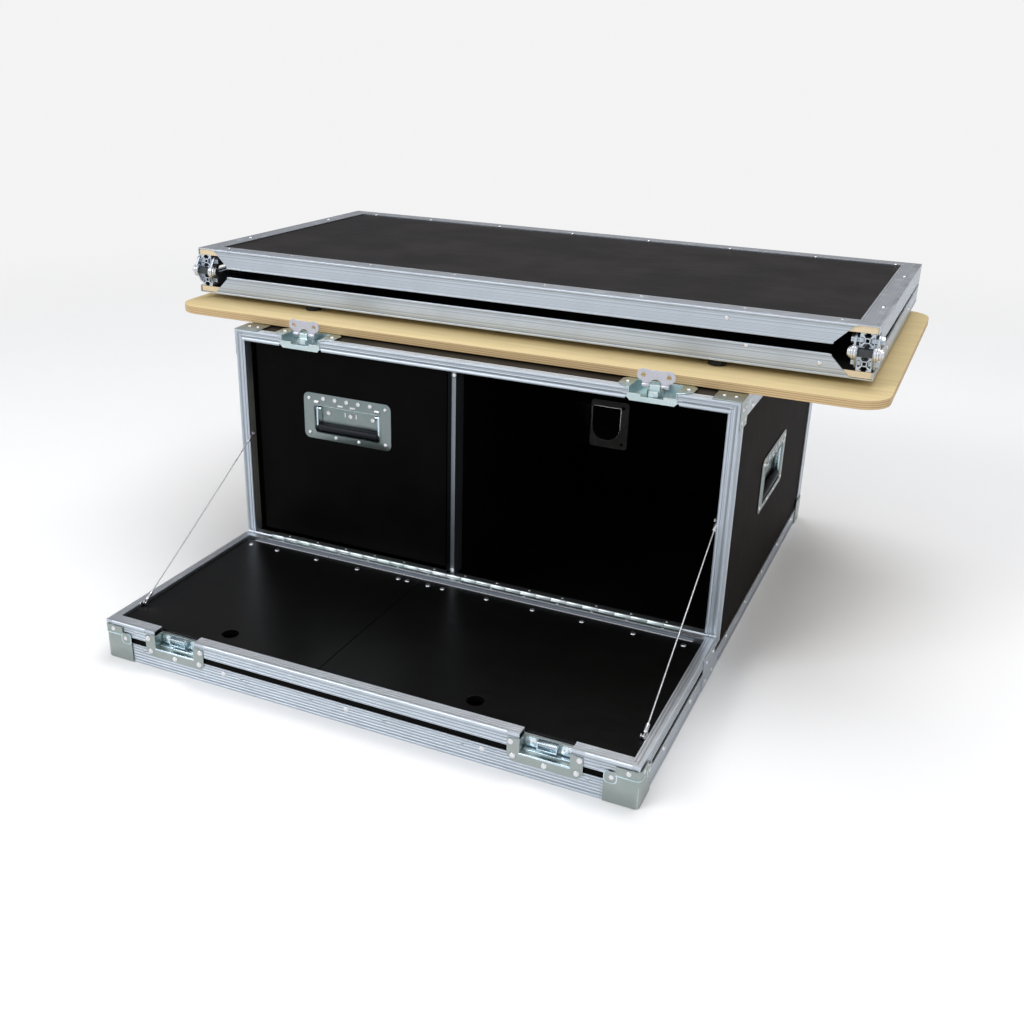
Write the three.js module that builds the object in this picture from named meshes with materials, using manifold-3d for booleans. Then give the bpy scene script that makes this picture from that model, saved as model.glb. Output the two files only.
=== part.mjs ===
// A camping box: a flight case of black plywood in aluminium profiles, with a front flap that
// folds down on two wire stays, a drawer and an open compartment. A loose birch board lies on
// top and carries a folded table unit of two hinged leaves. Millimetres, +X right, +Z up, and
// the flap opens towards -Y.

import * as THREE from 'three';
import { mergeVertices } from 'three/addons/utils/BufferGeometryUtils.js';
import Module from 'manifold-3d';

const wasm = await Module();
wasm.setup();

// Sheet goods and clearances
const seatGap = 0.3;
const overrun = 5;
const panelThick = 9;
const angleLeg = 30;
const angleThick = 1.5;
const profileWall = 1.4;
const plateThick = 1.2;
const skin = angleThick + seatGap;

// Case
const caseWidth = 800;
const caseHeight = 406;
const caseDepth = 632;
const sillHeight = 59;
const edgeProfileFace = 14;
const edgeProfileDepth = 14;
const edgeProfileLip = 6;
const sillProfileHeight = 20;
const halfCase = caseWidth / 2;

// Divider between the drawer and the open compartment
const dividerCentre = -21.5;
const dividerProfileFace = 13;
const dividerProfileDepth = 27;
const dividerSetback = 3;
const dividerScrewRadius = 3.2;

// Drawer
const drawerSetback = 14;
const wireChannel = 14;
const drawerReveal = 7;
const drawerTopReveal = 4;
const drawerBottomReveal = 6;
const drawerBoxDepth = 490;
const drawerBoxHeight = 250;
const runnerWidth = 12.7;
const runnerHeight = 45;
const runnerRise = 60;
const runnerLength = 470;
const runnerSetback = 30;
const runnerTongueHeight = 30;
const runnerTongueReach = 8;

// Recessed spring handles
const handlePlateRadius = 6;
const handlePanDepth = 14;
const handlePanRadius = 5;
const handlePanDrop = 4;
const handleArmRadius = 2.5;
const handleArmInset = 1.3;
const handleGripRadius = 6;
const handleGripSetback = 3;
const handlePivotInset = 4.8;
const drawerHandleWidth = 156;
const drawerHandleHeight = 75;
const drawerHandleDrop = 36.5;
const drawerHandleShift = 4;
const sideHandleWidth = 172;
const sideHandleHeight = 90;
const sideHandleRise = 208;
const sideHandleSetback = 300;
const handlePanMarginX = 18;
const handlePanMarginZ = 15.5;

// Latches on the case and their keepers on the flap
const latchCentre = 280;
const latchSetback = 13;
const latchPlateWidth = 106;
const latchPlateDepth = 44;
const latchPlateChamfer = 9;
const latchEarSetback = 13.5;
const latchFlangeWidth = 71;
const latchFlangeHeight = 18;
const latchLipDrop = 7;
const latchPlate = 1;
const latchPanWidth = 68;
const latchPanDepth = 38;
const latchPanHeight = 12;
const latchSlotWidth = 32;
const hubRadius = 11.2;
const hubHeight = 7.5;
const hubNeckWidth = 14;
const hubNeckDepth = 7;
const clawWidth = 9;
const clawReach = 17;
const clawThick = 2.5;
const wingPinRise = 3.2;
const wingPinRadius = 1.8;
const wingHoleSpacing = 36;
const wingHoleRadius = 3.2;
const wingLobeRadius = 9;
const wingRise = 13.2;
const wingThick = 1.5;
const wingLegInner = 8.5;
const wingLegOuter = 19;
const wingLegRadius = 3.4;
const wingArchRise = 7;
const wingLobeLow = -Math.PI / 4;
const wingLobeHigh = Math.PI * 0.6;
const keeperWidth = 100;
const keeperDrop = 40;
const keeperChamfer = 8;
const keeperPanWidth = 68;
const keeperPanDrop = 27;
const keeperPanDepth = 16;
const keeperPanStep = 7;
const keeperCatchWidth = 26.6;
const keeperCatchThick = 3;
const keeperCatchReach = 10;
const keeperCatchDrop = 8;

// Piano hinge between sill and flap
const hingeLeaf = 1.2;
const hingeKnuckleRadius = 3.2;
const hingePinRadius = 1.5;
const hingePitch = 50;
const hingePairs = 14;
const hingeOffset = 1.5;
const hingeAxisY = -hingeOffset;
const hingeAxisZ = sillHeight + seatGap + hingeLeaf;

// Flap, a shallow tray with two lids. Closed, it ends level with the top of the case.
const flapGap = 1;
const flapRear = -flapGap;
const flapFront = hingeAxisY - (caseHeight - hingeAxisZ);
const rimHeight = 20;
const rimSide = 12.5;
const rimFront = 18;
const rimRear = 14;
const lidRecess = 4;
const lidSeam = -58;
const lidSeamGap = 1.2;
const lidEdgeGap = 1;
const lidHingeRadius = 2.6;
const lidHingeInset = 3.6;
const lidHingeDrop = 3;
const lidHingeMargin = 14;
const lidHingeLeafHeight = 16;
const fingerHoleRadius = 12;
const fingerHoleInset = 50;
const fingerHoleShares = [-0.55, 0.4075];
const ledgeWidth = 14;
const ledgeHeight = 12;
const seamRibWidth = 12;
const flapCornerReach = 50;
const flapCornerHeight = 55;
const flapCornerRadius = 3;
const flapCornerRivetShare = 0.6;
const flapBraceLength = 62;
const flapBraceHeight = 50;
const flapBraceRise = 4;

// Wire stays
const stayTopRise = 233;
const stayTopSetback = 8;
const stayFootReach = 283;
const stayScrewRadius = 1.6;
const stayHeadRadius = 3.2;
const stayHeadThick = 1.4;
const stayScrewReach = 5;
const stayEyeRadius = 3.4;
const stayEyeThick = 1.6;
const stayBracketWidth = 14;
const stayBracketHeight = 6;
const stayBracketThick = 1.3;
const wireRadius = 1;
const sleeveRadius = 2;
const sleeveLength = 12;

// Corner fittings of the case
const braceReach = 40;
const braceThick = 1;
const braceNearShare = 0.3;
const braceFarShare = 0.75;
const rearCornerReach = 42;
const rearCornerHeight = 45;
const rearCornerRadius = 3;
const fittingThick = 1.5;

// Plate round the feed-through in the back panel
const outletWidth = 77.5;
const outletHeight = 96.5;
const outletThick = 3;
const outletRadius = 29.5;
const outletHoleHeight = 70;
const outletHoleRise = 14;
const outletRise = 77;
const outletStandoff = 0.5;
const outletHoleInset = 2.5;
const outletScrewRadius = 2;
const outletScrewInset = 11;

// Birch board lying on the case
const boardWidth = 1126;
const boardDepth = 550;
const boardThick = 12;
const boardCornerRadius = 40;
const boardCentre = 13;
const boardSetback = 42;
const boardBase = caseHeight + latchPlate + 2 * seatGap;

// Folded unit on the board, two alike leaves
const unitCentre = 3;
const unitWidth = 1088;
const unitDepth = 522;
const unitSetback = 101;
const footHeight = 10;
const footRadius = 13;
const footSpacing = 666;
const footInset = 18;
const railSize = 20;
const railInset = 4;
const railSlot = 6;
const railSlotLip = 1.6;
const railSlotInner = 11;
const railSlotDepth = 6.2;
const railCore = 4.4;
const railFloorShare = 0.8;
const leafGap = 11;
const frontLegInset = 29;
const sideLegCutLength = 26;
const sideLegCutRise = 11;
const linkRadius = 9;
const linkThick = 3;
const linkBoltInset = 10;
const linkPivotReach = 1;
const linkPinRadius = 4;
const linkHeadRadius = 7;
const linkHeadLength = 5;
const linkSpacerRadius = 6;
const frontLegHalf = unitWidth / 2 - frontLegInset;
const leafHeight = skin + panelThick + seatGap + railSize;
const unitBase = boardBase + boardThick + seatGap + footHeight;
const leafRestTilt = Math.atan((leafGap - seatGap) / (unitDepth + linkPivotReach));

// Rivets, screwed and riveted heads are low cones
const rivetRadius = 4;
const rivetHeight = 1.3;
const rivetTopShare = 0.5;
const rivetLineShare = 0.75;
const rivetEdgeInset = 8;

const curveSides = 3;
const rodSides = 10;
const smallRodSides = 6;
const rivetSides = 6;
const mergeTolerance = 1e-4;

const colours = {
  ply: new THREE.MeshStandardMaterial({ color: 0x17171a, roughness: 0.32, metalness: 0 }),
  birch: new THREE.MeshStandardMaterial({ color: 0xd9b779, roughness: 0.55, metalness: 0 }),
  aluminium: new THREE.MeshStandardMaterial({ color: 0xb9bcc4, roughness: 0.35, metalness: 1 }),
  zinc: new THREE.MeshStandardMaterial({ color: 0xa9b3b8, roughness: 0.3, metalness: 1 }),
  steel: new THREE.MeshStandardMaterial({ color: 0xc6c6c6, roughness: 0.4, metalness: 1 }),
  rubber: new THREE.MeshStandardMaterial({ color: 0x1b1b1c, roughness: 0.7, metalness: 0 }),
  grey: new THREE.MeshStandardMaterial({ color: 0x55564f, roughness: 0.6, metalness: 0 }),
};

// Each basis takes a drawn outline (u, v) and its extrusion to the named axis
const X = new THREE.Vector3(1, 0, 0);
const Y = new THREE.Vector3(0, 1, 0);
const Z = new THREE.Vector3(0, 0, 1);
const bases = {
  x: new THREE.Matrix4().makeBasis(Y, Z, X),
  y: new THREE.Matrix4().makeBasis(X, Z, Y.clone().negate()),
  z: new THREE.Matrix4(),
};

function toSolid(geometry) {
  const bare = geometry.clone();
  bare.deleteAttribute('normal');
  bare.deleteAttribute('uv');
  const merged = mergeVertices(bare, mergeTolerance);
  return new wasm.Manifold(new wasm.Mesh({
    numProp: 3,
    vertProperties: new Float32Array(merged.attributes.position.array),
    triVerts: new Uint32Array(merged.index.array),
  }));
}

function toGeometry(solid) {
  const mesh = solid.getMesh();
  const geometry = new THREE.BufferGeometry();
  geometry.setAttribute('position', new THREE.BufferAttribute(new Float32Array(mesh.vertProperties), 3));
  geometry.setIndex(new THREE.BufferAttribute(new Uint32Array(mesh.triVerts), 1));
  geometry.computeVertexNormals();
  return geometry;
}

function box(x0, x1, y0, y1, z0, z1) {
  const geometry = new THREE.BoxGeometry(x1 - x0, y1 - y0, z1 - z0);
  geometry.translate((x0 + x1) / 2, (y0 + y1) / 2, (z0 + z1) / 2);
  return toSolid(geometry);
}

// An outline in (y, z), (x, z) or (x, y), drawn out along the axis that is left
function extrude(shape, axis, from, to) {
  const outline = Array.isArray(shape) ? new THREE.Shape(shape.map(([u, v]) => new THREE.Vector2(u,
    v))) : shape;
  const settings = { depth: to - from, bevelEnabled: false, curveSegments: curveSides };
  const geometry = new THREE.ExtrudeGeometry(outline, settings);
  geometry.translate(0, 0, axis === 'y' ? -to : from);
  geometry.applyMatrix4(bases[axis]);
  return toSolid(geometry);
}

function roundedOutline(u0, u1, v0, v1, radius) {
  const shape = new THREE.Shape();
  shape.moveTo(u0 + radius, v0);
  shape.lineTo(u1 - radius, v0);
  shape.absarc(u1 - radius, v0 + radius, radius, -Math.PI / 2, 0);
  shape.lineTo(u1, v1 - radius);
  shape.absarc(u1 - radius, v1 - radius, radius, 0, Math.PI / 2);
  shape.lineTo(u0 + radius, v1);
  shape.absarc(u0 + radius, v1 - radius, radius, Math.PI / 2, Math.PI);
  shape.lineTo(u0, v0 + radius);
  shape.absarc(u0 + radius, v0 + radius, radius, Math.PI, Math.PI * 1.5);
  return shape;
}

// A round bar along an axis; the two centre values are its other coordinates in x, y, z order
function rod(axis, from, to, centreA, centreB, radius, sides = rodSides) {
  const geometry = new THREE.CylinderGeometry(radius, radius, to - from, sides);
  const middle = (from + to) / 2;
  if (axis === 'x') {
    geometry.rotateZ(-Math.PI / 2).translate(middle, centreA, centreB);
  } else if (axis === 'y') {
    geometry.translate(centreA, middle, centreB);
  } else {
    geometry.rotateX(Math.PI / 2).translate(centreA, centreB, middle);
  }
  return toSolid(geometry);
}

// A low domed rivet head standing on a face; direction is the sign of its outward way
function rivet(axis, direction, x, y, z, radius = rivetRadius, height = rivetHeight) {
  const sunk = height / 2;
  const geometry = new THREE.CylinderGeometry(radius * rivetTopShare, radius, height + sunk, rivetSides);
  geometry.translate(0, (height - sunk) / 2, 0);
  if (direction < 0) {
    geometry.rotateX(Math.PI);
  }
  if (axis === 'x') {
    geometry.rotateZ(-Math.PI / 2);
  } else if (axis === 'z') {
    geometry.rotateX(Math.PI / 2);
  }
  geometry.translate(x, y, z);
  return toSolid(geometry);
}

function union(solids) {
  return solids.reduce((whole, solid) => whole.add(solid));
}

function cut(solid, cutters) {
  return cutters.reduce((whole, cutter) => whole.subtract(cutter), solid);
}

function piece(group, name, solid, material) {
  const mesh = new THREE.Mesh(toGeometry(solid), material);
  mesh.name = name;
  group.add(mesh);
  return mesh;
}

const sides = [['left', -1], ['right', 1]];

// A box given by its distances from the middle plane, on the chosen side of it
function sideBox(side, x0, x1, y0, y1, z0, z1) {
  return box(Math.min(side * x0, side * x1), Math.max(side * x0, side * x1), y0, y1, z0, z1);
}

const part = new THREE.Group();
const caseBox = new THREE.Group();
part.add(caseBox);

// Latch pans, cut through whatever lies under them
function latchPanCutters() {
  return sides.map(([, side]) => {
    const half = latchPanWidth / 2 + seatGap;
    const floor = caseHeight - latchPanHeight - seatGap;
    return box(side * latchCentre - half, side * latchCentre + half, -overrun, latchPanDepth + seatGap,
      floor,
      caseHeight + overrun);
  });
}

// Plywood shell
const panelFace = halfCase - skin;
const panelInner = panelFace - panelThick;
const floorTop = skin + panelThick;
const roofUnder = caseHeight - skin - panelThick;
const backFace = caseDepth - skin;
const backInner = backFace - panelThick;
const panelFront = edgeProfileDepth + seatGap;

function handleCutter(width, height) {
  const halfX = width / 2 - handlePanMarginX + seatGap;
  const halfZ = height / 2 - handlePanMarginZ + seatGap;
  return roundedOutline(-halfX, halfX, -halfZ - handlePanDrop, halfZ - handlePanDrop,
    handlePanRadius + seatGap);
}

function buildShell() {
  const sillBack = skin + panelThick;
  piece(caseBox, 'bottom_panel', box(-panelFace, panelFace, sillBack + seatGap, backFace, skin,
    floorTop), colours.ply);
  piece(caseBox, 'top_panel', cut(box(-panelFace, panelFace, panelFront, backFace, roofUnder,
    roofUnder + panelThick),
    latchPanCutters()), colours.ply);
  const back = box(-panelInner + seatGap, panelInner - seatGap, backInner, backFace, floorTop + seatGap,
    roofUnder - seatGap);
  piece(caseBox, 'back_panel', back.subtract(outletHole()), colours.ply);
  for (const [name, side] of sides) {
    const wall = sideBox(side, panelInner, panelFace, panelFront, backFace, floorTop + seatGap,
      roofUnder - seatGap);
    const opening = extrude(handleCutter(sideHandleWidth, sideHandleHeight), 'x', -overrun - panelThick,
      overrun)
      .translate([side * panelFace + (side > 0 ? 0 : panelThick), sideHandleSetback, sideHandleRise]);
    piece(caseBox, `${name}_panel`, wall.subtract(opening), colours.ply);
  }
  piece(caseBox, 'sill_panel', box(-panelFace, panelFace, skin, sillBack, skin + panelThick + seatGap,
    sillHeight - profileWall - seatGap), colours.ply);
}

// Closing profile round the front opening: a trough that grips the panel edges, with a long leg
// down the outside. The sill carries the same profile upside down on its plywood strip.
function buildFrontFrame() {
  const inner = halfCase - edgeProfileFace;
  const top = caseHeight - edgeProfileFace;
  const low = sillHeight - sillProfileHeight;
  const bars = [];
  for (const [, side] of sides) {
    bars.push(sideBox(side, inner, halfCase, 0, edgeProfileDepth, low, caseHeight));
    bars.push(sideBox(side, halfCase - angleThick, halfCase, 0, angleLeg, low, caseHeight));
    bars.push(sideBox(side, halfCase - angleLeg, halfCase, 0, angleLeg, caseHeight - angleThick,
      caseHeight));
    bars.push(sideBox(side, inner, inner + profileWall, 0, edgeProfileDepth + edgeProfileLip, sillHeight,
      top + profileWall));
  }
  bars.push(box(-halfCase, halfCase, 0, edgeProfileDepth, top, caseHeight));
  bars.push(box(-inner, inner, 0, edgeProfileDepth + edgeProfileLip, top, top + profileWall));
  bars.push(box(-halfCase, halfCase, 0, profileWall, low, sillHeight));
  bars.push(box(-halfCase, halfCase, 0, edgeProfileDepth, sillHeight - profileWall, sillHeight));
  bars.push(box(-halfCase, halfCase, edgeProfileDepth - profileWall, edgeProfileDepth, low, sillHeight));
  const relief = rod('x', -halfCase - overrun, halfCase + overrun, hingeAxisY, hingeAxisZ,
    hingeKnuckleRadius + 2 * seatGap, rodSides * 2);
  const sillSeat = box(-panelFace - seatGap, panelFace + seatGap, profileWall, skin + panelThick + seatGap,
    low - overrun, sillHeight - profileWall);
  const frame = cut(union(bars), [relief, sillSeat, ...latchPanCutters()]);
  piece(caseBox, 'front_frame', frame, colours.aluminium);
}

// Riveted angles along the other edges of the case, one welded-up frame
function angleAlong(axis, from, to, cornerA, cornerB, inwardA, inwardB) {
  const leg = (a0, a1, b0, b1) => {
    const [lowA, highA] = [Math.min(a0, a1), Math.max(a0, a1)];
    const [lowB, highB] = [Math.min(b0, b1), Math.max(b0, b1)];
    if (axis === 'x') {
      return box(from, to, lowA, highA, lowB, highB);
    }
    if (axis === 'y') {
      return box(lowA, highA, from, to, lowB, highB);
    }
    return box(lowA, highA, lowB, highB, from, to);
  };
  return leg(cornerA, cornerA + inwardA * angleLeg, cornerB, cornerB + inwardB * angleThick)
    .add(leg(cornerA, cornerA + inwardA * angleThick, cornerB, cornerB + inwardB * angleLeg));
}

const sideRivetShares = [0.12, 0.31, 0.5, 0.69, 0.88];

function buildCaseAngles() {
  const legFront = angleLeg + seatGap;
  const bars = [
    angleAlong('x', -halfCase, halfCase, 0, 0, 1, 1),
    angleAlong('x', -halfCase, halfCase, caseDepth, 0, -1, 1),
    angleAlong('x', -halfCase, halfCase, caseDepth, caseHeight, -1, -1),
  ];
  for (const [, side] of sides) {
    bars.push(angleAlong('y', 0, caseDepth, side * halfCase, 0, -side, 1));
    bars.push(angleAlong('y', legFront, caseDepth, side * halfCase, caseHeight, -side, -1));
    bars.push(angleAlong('z', 0, caseHeight, side * halfCase, caseDepth, -side, -1));
    bars.push(sideBox(side, halfCase - braceReach, halfCase, caseDepth - braceReach, caseDepth, caseHeight,
      caseHeight + braceThick));
    for (const share of sideRivetShares) {
      const y = caseDepth * share;
      bars.push(rivet('x', side, side * halfCase, y, angleLeg * rivetLineShare));
      bars.push(rivet('x', side, side * halfCase, y, caseHeight - angleLeg * rivetLineShare));
    }
  }
  piece(caseBox, 'case_angles', union(bars), colours.aluminium);
}

// Divider and the profile on its front edge
function buildDivider() {
  const halfPanel = panelThick / 2;
  const halfProfile = dividerProfileFace / 2;
  const front = edgeProfileDepth + edgeProfileLip + seatGap;
  piece(caseBox, 'divider_panel', box(dividerCentre - halfPanel, dividerCentre + halfPanel, front,
    backInner - seatGap, floorTop + seatGap, roofUnder - seatGap), colours.ply);
  const low = hingeAxisZ + seatGap;
  const high = caseHeight - edgeProfileFace - seatGap;
  const back = dividerSetback + dividerProfileDepth;
  const bar = box(dividerCentre - halfProfile, dividerCentre + halfProfile, dividerSetback, back, low,
    high);
  const slot = box(dividerCentre - halfPanel - seatGap, dividerCentre + halfPanel + seatGap,
    front - seatGap, back + overrun, low - overrun, high + overrun);
  const screws = [low + rivetEdgeInset, high - rivetEdgeInset].map((z) =>
    rivet('y', -1, dividerCentre, dividerSetback, z, dividerScrewRadius));
  piece(caseBox, 'divider_edge', union([bar.subtract(slot), ...screws]), colours.aluminium);
}

// Fittings on the corners of the case
function buildCaseCorners() {
  for (const [name, side] of sides) {
    const face = halfCase + seatGap;
    const top = caseHeight + seatGap;
    const reachZ = caseHeight - braceReach;
    const brace = union([
      sideBox(side, face, face + braceThick, seatGap, braceReach, reachZ, top + braceThick),
      sideBox(side, face - braceReach, face + braceThick, seatGap, braceReach, top, top + braceThick),
      rivet('x', side, side * (face + braceThick), braceReach * braceFarShare,
      caseHeight - braceReach * braceNearShare),
      rivet('x', side, side * (face + braceThick), braceReach * braceNearShare,
      caseHeight - braceReach * braceFarShare),
    ]);
    piece(caseBox, `corner_brace_${name}`, brace, colours.zinc);
    const outer = roundedOutline(-halfCase, face + fittingThick, overrun,
      caseDepth + seatGap + fittingThick,
      rearCornerRadius);
    const inner = [[-caseWidth, -caseDepth], [face, -caseDepth], [face, caseDepth + seatGap],
      [-caseWidth, caseDepth + seatGap]];
    const shell = extrude(outer, 'z', seatGap, rearCornerHeight)
      .subtract(extrude(inner, 'z', -overrun, rearCornerHeight + overrun));
    const kept = box(halfCase - rearCornerReach, halfCase + overrun * 2, caseDepth - rearCornerReach,
      caseDepth + overrun * 2, -overrun, rearCornerHeight + overrun);
    const corner = shell.intersect(kept);
    piece(caseBox, `rear_corner_${name}`, side > 0 ? corner : corner.mirror([1, 0, 0]), colours.zinc);
  }
}

// Piano hinge: knuckles of the two leaves take turns along one pin
function hingeLeafSolid(side) {
  const start = -hingePitch * hingePairs / 2;
  const knuckle = hingePitch / 2;
  const reach = side > 0 ? [hingeGapEdge(), edgeProfileDepth] : [-edgeProfileDepth,
    2 * hingeAxisY - hingeGapEdge()];
  const solids = [box(start, -start, reach[0], reach[1], hingeAxisZ - hingeLeaf, hingeAxisZ)];
  for (let i = 0; i < hingePairs; i += 1) {
    const from = start + i * hingePitch + (side > 0 ? knuckle : 0) + seatGap / 2;
    const to = from + knuckle - seatGap;
    solids.push(rod('x', from, to, hingeAxisY, hingeAxisZ, hingeKnuckleRadius, smallRodSides));
    const web = side > 0 ? [hingeAxisY, reach[0] + hingeLeaf] : [reach[1] - hingeLeaf, hingeAxisY];
    solids.push(box(from, to, web[0], web[1], hingeAxisZ - hingeLeaf, hingeAxisZ));
  }
  const bore = rod('x', start - overrun, -start + overrun, hingeAxisY, hingeAxisZ, hingePinRadius + seatGap,
    smallRodSides);
  return union(solids).subtract(bore);
}

function hingeGapEdge() {
  return hingeAxisY + hingeKnuckleRadius + 2 * seatGap;
}

function buildCaseHinge() {
  const half = hingePitch * hingePairs / 2;
  piece(caseBox, 'hinge_case_leaf', hingeLeafSolid(1), colours.zinc);
  piece(caseBox, 'hinge_pin', rod('x', -half, half, hingeAxisY, hingeAxisZ, hingePinRadius, smallRodSides),
    colours.steel);
}

// Recessed handle facing -Y: a pan in a flat plate, and a sprung bail that lies in the pan.
// The plate's back face is the plane y = 0 of its group.
function buildHandle(name, width, height) {
  const group = new THREE.Group();
  const panX = width / 2 - handlePanMarginX;
  const panTop = height / 2 - handlePanMarginZ - handlePanDrop;
  const panLow = -height / 2 + handlePanMarginZ - handlePanDrop;
  const plate = extrude(roundedOutline(-width / 2, width / 2, -height / 2, height / 2,
    handlePlateRadius), 'y',
    -plateThick - seatGap, -seatGap);
  const pan = extrude(roundedOutline(-panX, panX, panLow, panTop, handlePanRadius), 'y', -plateThick,
    handlePanDepth);
  const hollow = extrude(roundedOutline(-panX + plateThick, panX - plateThick, panLow + plateThick,
    panTop - plateThick,
    handlePanRadius - plateThick), 'y', -overrun, handlePanDepth - plateThick);
  const rivets = [];
  for (const sx of [-1, 1]) {
    for (const sz of [-1, 1]) {
      const x = sx * (width / 2 - rivetEdgeInset);
      const z = sz * (height / 2 - rivetEdgeInset);
      rivets.push(rivet('y', -1, x, -plateThick - seatGap, z));
    }
  }
  piece(group, `${name}_dish`, union([plate.add(pan).subtract(hollow), ...rivets]), colours.zinc);

  const pivotZ = panTop - plateThick - handlePivotInset;
  const gripZ = panLow + plateThick + handleGripRadius + seatGap;
  const pinEnd = panX - plateThick - handleArmInset;
  const armX = pinEnd - handleArmRadius;
  const bail = union([
    rod('x', -pinEnd, pinEnd, handleGripSetback, pivotZ, handleArmRadius, smallRodSides),
    rod('x', -armX, armX, handleGripSetback, gripZ, handleGripRadius),
    ...[-1, 1].map((s) => rod('z', gripZ, pivotZ, s * armX, handleGripSetback, handleArmRadius,
      smallRodSides)),
  ]);
  piece(group, `${name}_bail`, bail, colours.rubber);
  return group;
}

function buildSideHandles() {
  for (const [name, side] of sides) {
    const handle = buildHandle(`${name}_handle`, sideHandleWidth, sideHandleHeight);
    handle.rotation.z = side * Math.PI / 2;
    handle.position.set(side * panelFace, sideHandleSetback, sideHandleRise);
    caseBox.add(handle);
  }
}

// Latch: a dish let into the top front edge, a turning hub with a claw, and a folding wing
function buildLatch(name, side) {
  const group = new THREE.Group();
  group.position.set(side * latchCentre, latchSetback, caseHeight);
  const front = -latchSetback;
  const halfPan = latchPanWidth / 2;
  const halfPlate = latchPlateWidth / 2;
  const halfFlange = latchFlangeWidth / 2;
  const flangeFace = front - seatGap - latchPlate;
  const plateOutline = [
    [-halfFlange, flangeFace], [halfFlange, flangeFace],
    [halfPlate - latchPlateChamfer, flangeFace + latchPlateChamfer / 2], [halfPlate,
    front + latchEarSetback],
    [halfPlate, front + latchPlateDepth - latchPlateChamfer], [halfPlate - latchPlateChamfer,
    front + latchPlateDepth],
    [-halfPlate + latchPlateChamfer, front + latchPlateDepth],
    [-halfPlate, front + latchPlateDepth - latchPlateChamfer],
    [-halfPlate, front + latchEarSetback],
    [-halfPlate + latchPlateChamfer, flangeFace + latchPlateChamfer / 2],
  ];
  const plate = extrude(plateOutline, 'z', seatGap, seatGap + latchPlate);
  const flangeOutline = [
    [-halfFlange + latchPlateChamfer / 2, -latchFlangeHeight], [halfFlange - latchPlateChamfer / 2,
      -latchFlangeHeight],
    [halfFlange, -latchFlangeHeight + latchPlateChamfer / 2], [halfFlange, -latchLipDrop],
    [-halfFlange, -latchLipDrop], [-halfFlange, -latchFlangeHeight + latchPlateChamfer / 2],
  ];
  const flange = extrude(flangeOutline, 'y', flangeFace, flangeFace + latchPlate);
  const pan = box(-halfPan, halfPan, flangeFace, front + latchPanDepth, -latchPanHeight,
    seatGap + latchPlate);
  const hollow = box(-halfPan + plateThick, halfPan - plateThick, front + plateThick,
    front + latchPanDepth - plateThick, -latchPanHeight + plateThick, overrun);
  const clawSlot = box(-latchSlotWidth / 2, latchSlotWidth / 2, flangeFace - overrun,
    front + plateThick + overrun,
    -latchPanHeight + plateThick, overrun);
  const mouth = box(-halfPan + plateThick, halfPan - plateThick, flangeFace - overrun,
    front + plateThick + overrun, -latchLipDrop, overrun);
  piece(group, `${name}_latch_dish`, cut(union([plate, flange, pan]), [hollow, clawSlot, mouth]),
    colours.zinc);

  const hubBase = -latchPanHeight + plateThick + seatGap;
  const hubTop = hubBase + hubHeight;
  const claw = box(-clawWidth / 2, clawWidth / 2, 0, clawReach, hubTop - clawThick, hubTop);
  const neck = box(-hubNeckWidth / 2, hubNeckWidth / 2, -hubNeckDepth / 2, hubNeckDepth / 2, hubBase,
    wingPinRise + wingPinRadius);
  const pin = rod('x', -wingLegOuter - seatGap, wingLegOuter + seatGap, 0, wingPinRise, wingPinRadius,
    smallRodSides);
  piece(group, `${name}_latch_hub`, union([rod('z', hubBase, hubTop, 0, 0, hubRadius), claw, neck, pin]),
    colours.zinc);

  const wing = new THREE.Group();
  wing.position.z = wingPinRise;
  piece(wing, `${name}_latch_wing`, wingSolid(), colours.zinc);
  group.add(wing);
  return group;
}

function wingSolid() {
  const hole = wingHoleSpacing / 2;
  const shape = new THREE.Shape();
  shape.moveTo(wingLegInner, -wingLegRadius);
  shape.lineTo(wingLegOuter, -wingLegRadius);
  shape.lineTo(wingLegOuter, wingLegRadius);
  shape.absarc(hole, wingRise, wingLobeRadius, wingLobeLow, wingLobeHigh);
  shape.lineTo(-hole, wingRise + wingLobeRadius * Math.sin(wingLobeHigh));
  shape.absarc(-hole, wingRise, wingLobeRadius, Math.PI / 2, Math.PI - wingLobeLow);
  shape.lineTo(-wingLegOuter, wingLegRadius);
  shape.lineTo(-wingLegOuter, -wingLegRadius);
  shape.lineTo(-wingLegInner, -wingLegRadius);
  shape.absellipse(0, wingLegRadius, wingLegInner, wingArchRise - wingLegRadius, Math.PI, 0, true);
  const plate = extrude(shape, 'y', -wingThick / 2, wingThick / 2);
  const holes = [-1, 1].map((s) => rod('y', -overrun, overrun, s * hole, wingRise, wingHoleRadius));
  const sleeves = [-1, 1].map((s) => rod('x', Math.min(s * wingLegInner, s * wingLegOuter),
    Math.max(s * wingLegInner, s * wingLegOuter), 0, 0, wingLegRadius, smallRodSides));
  const bore = rod('x', -wingLegOuter - overrun, wingLegOuter + overrun, 0, 0, wingPinRadius + seatGap,
    smallRodSides);
  return cut(union([plate, ...sleeves]), [...holes, bore]);
}

// Drawer with its front, box, runners and handle
function drawerSides() {
  const left = -halfCase + edgeProfileFace + wireChannel;
  const right = dividerCentre - dividerProfileFace / 2 - drawerReveal;
  return { left, right };
}

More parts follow.
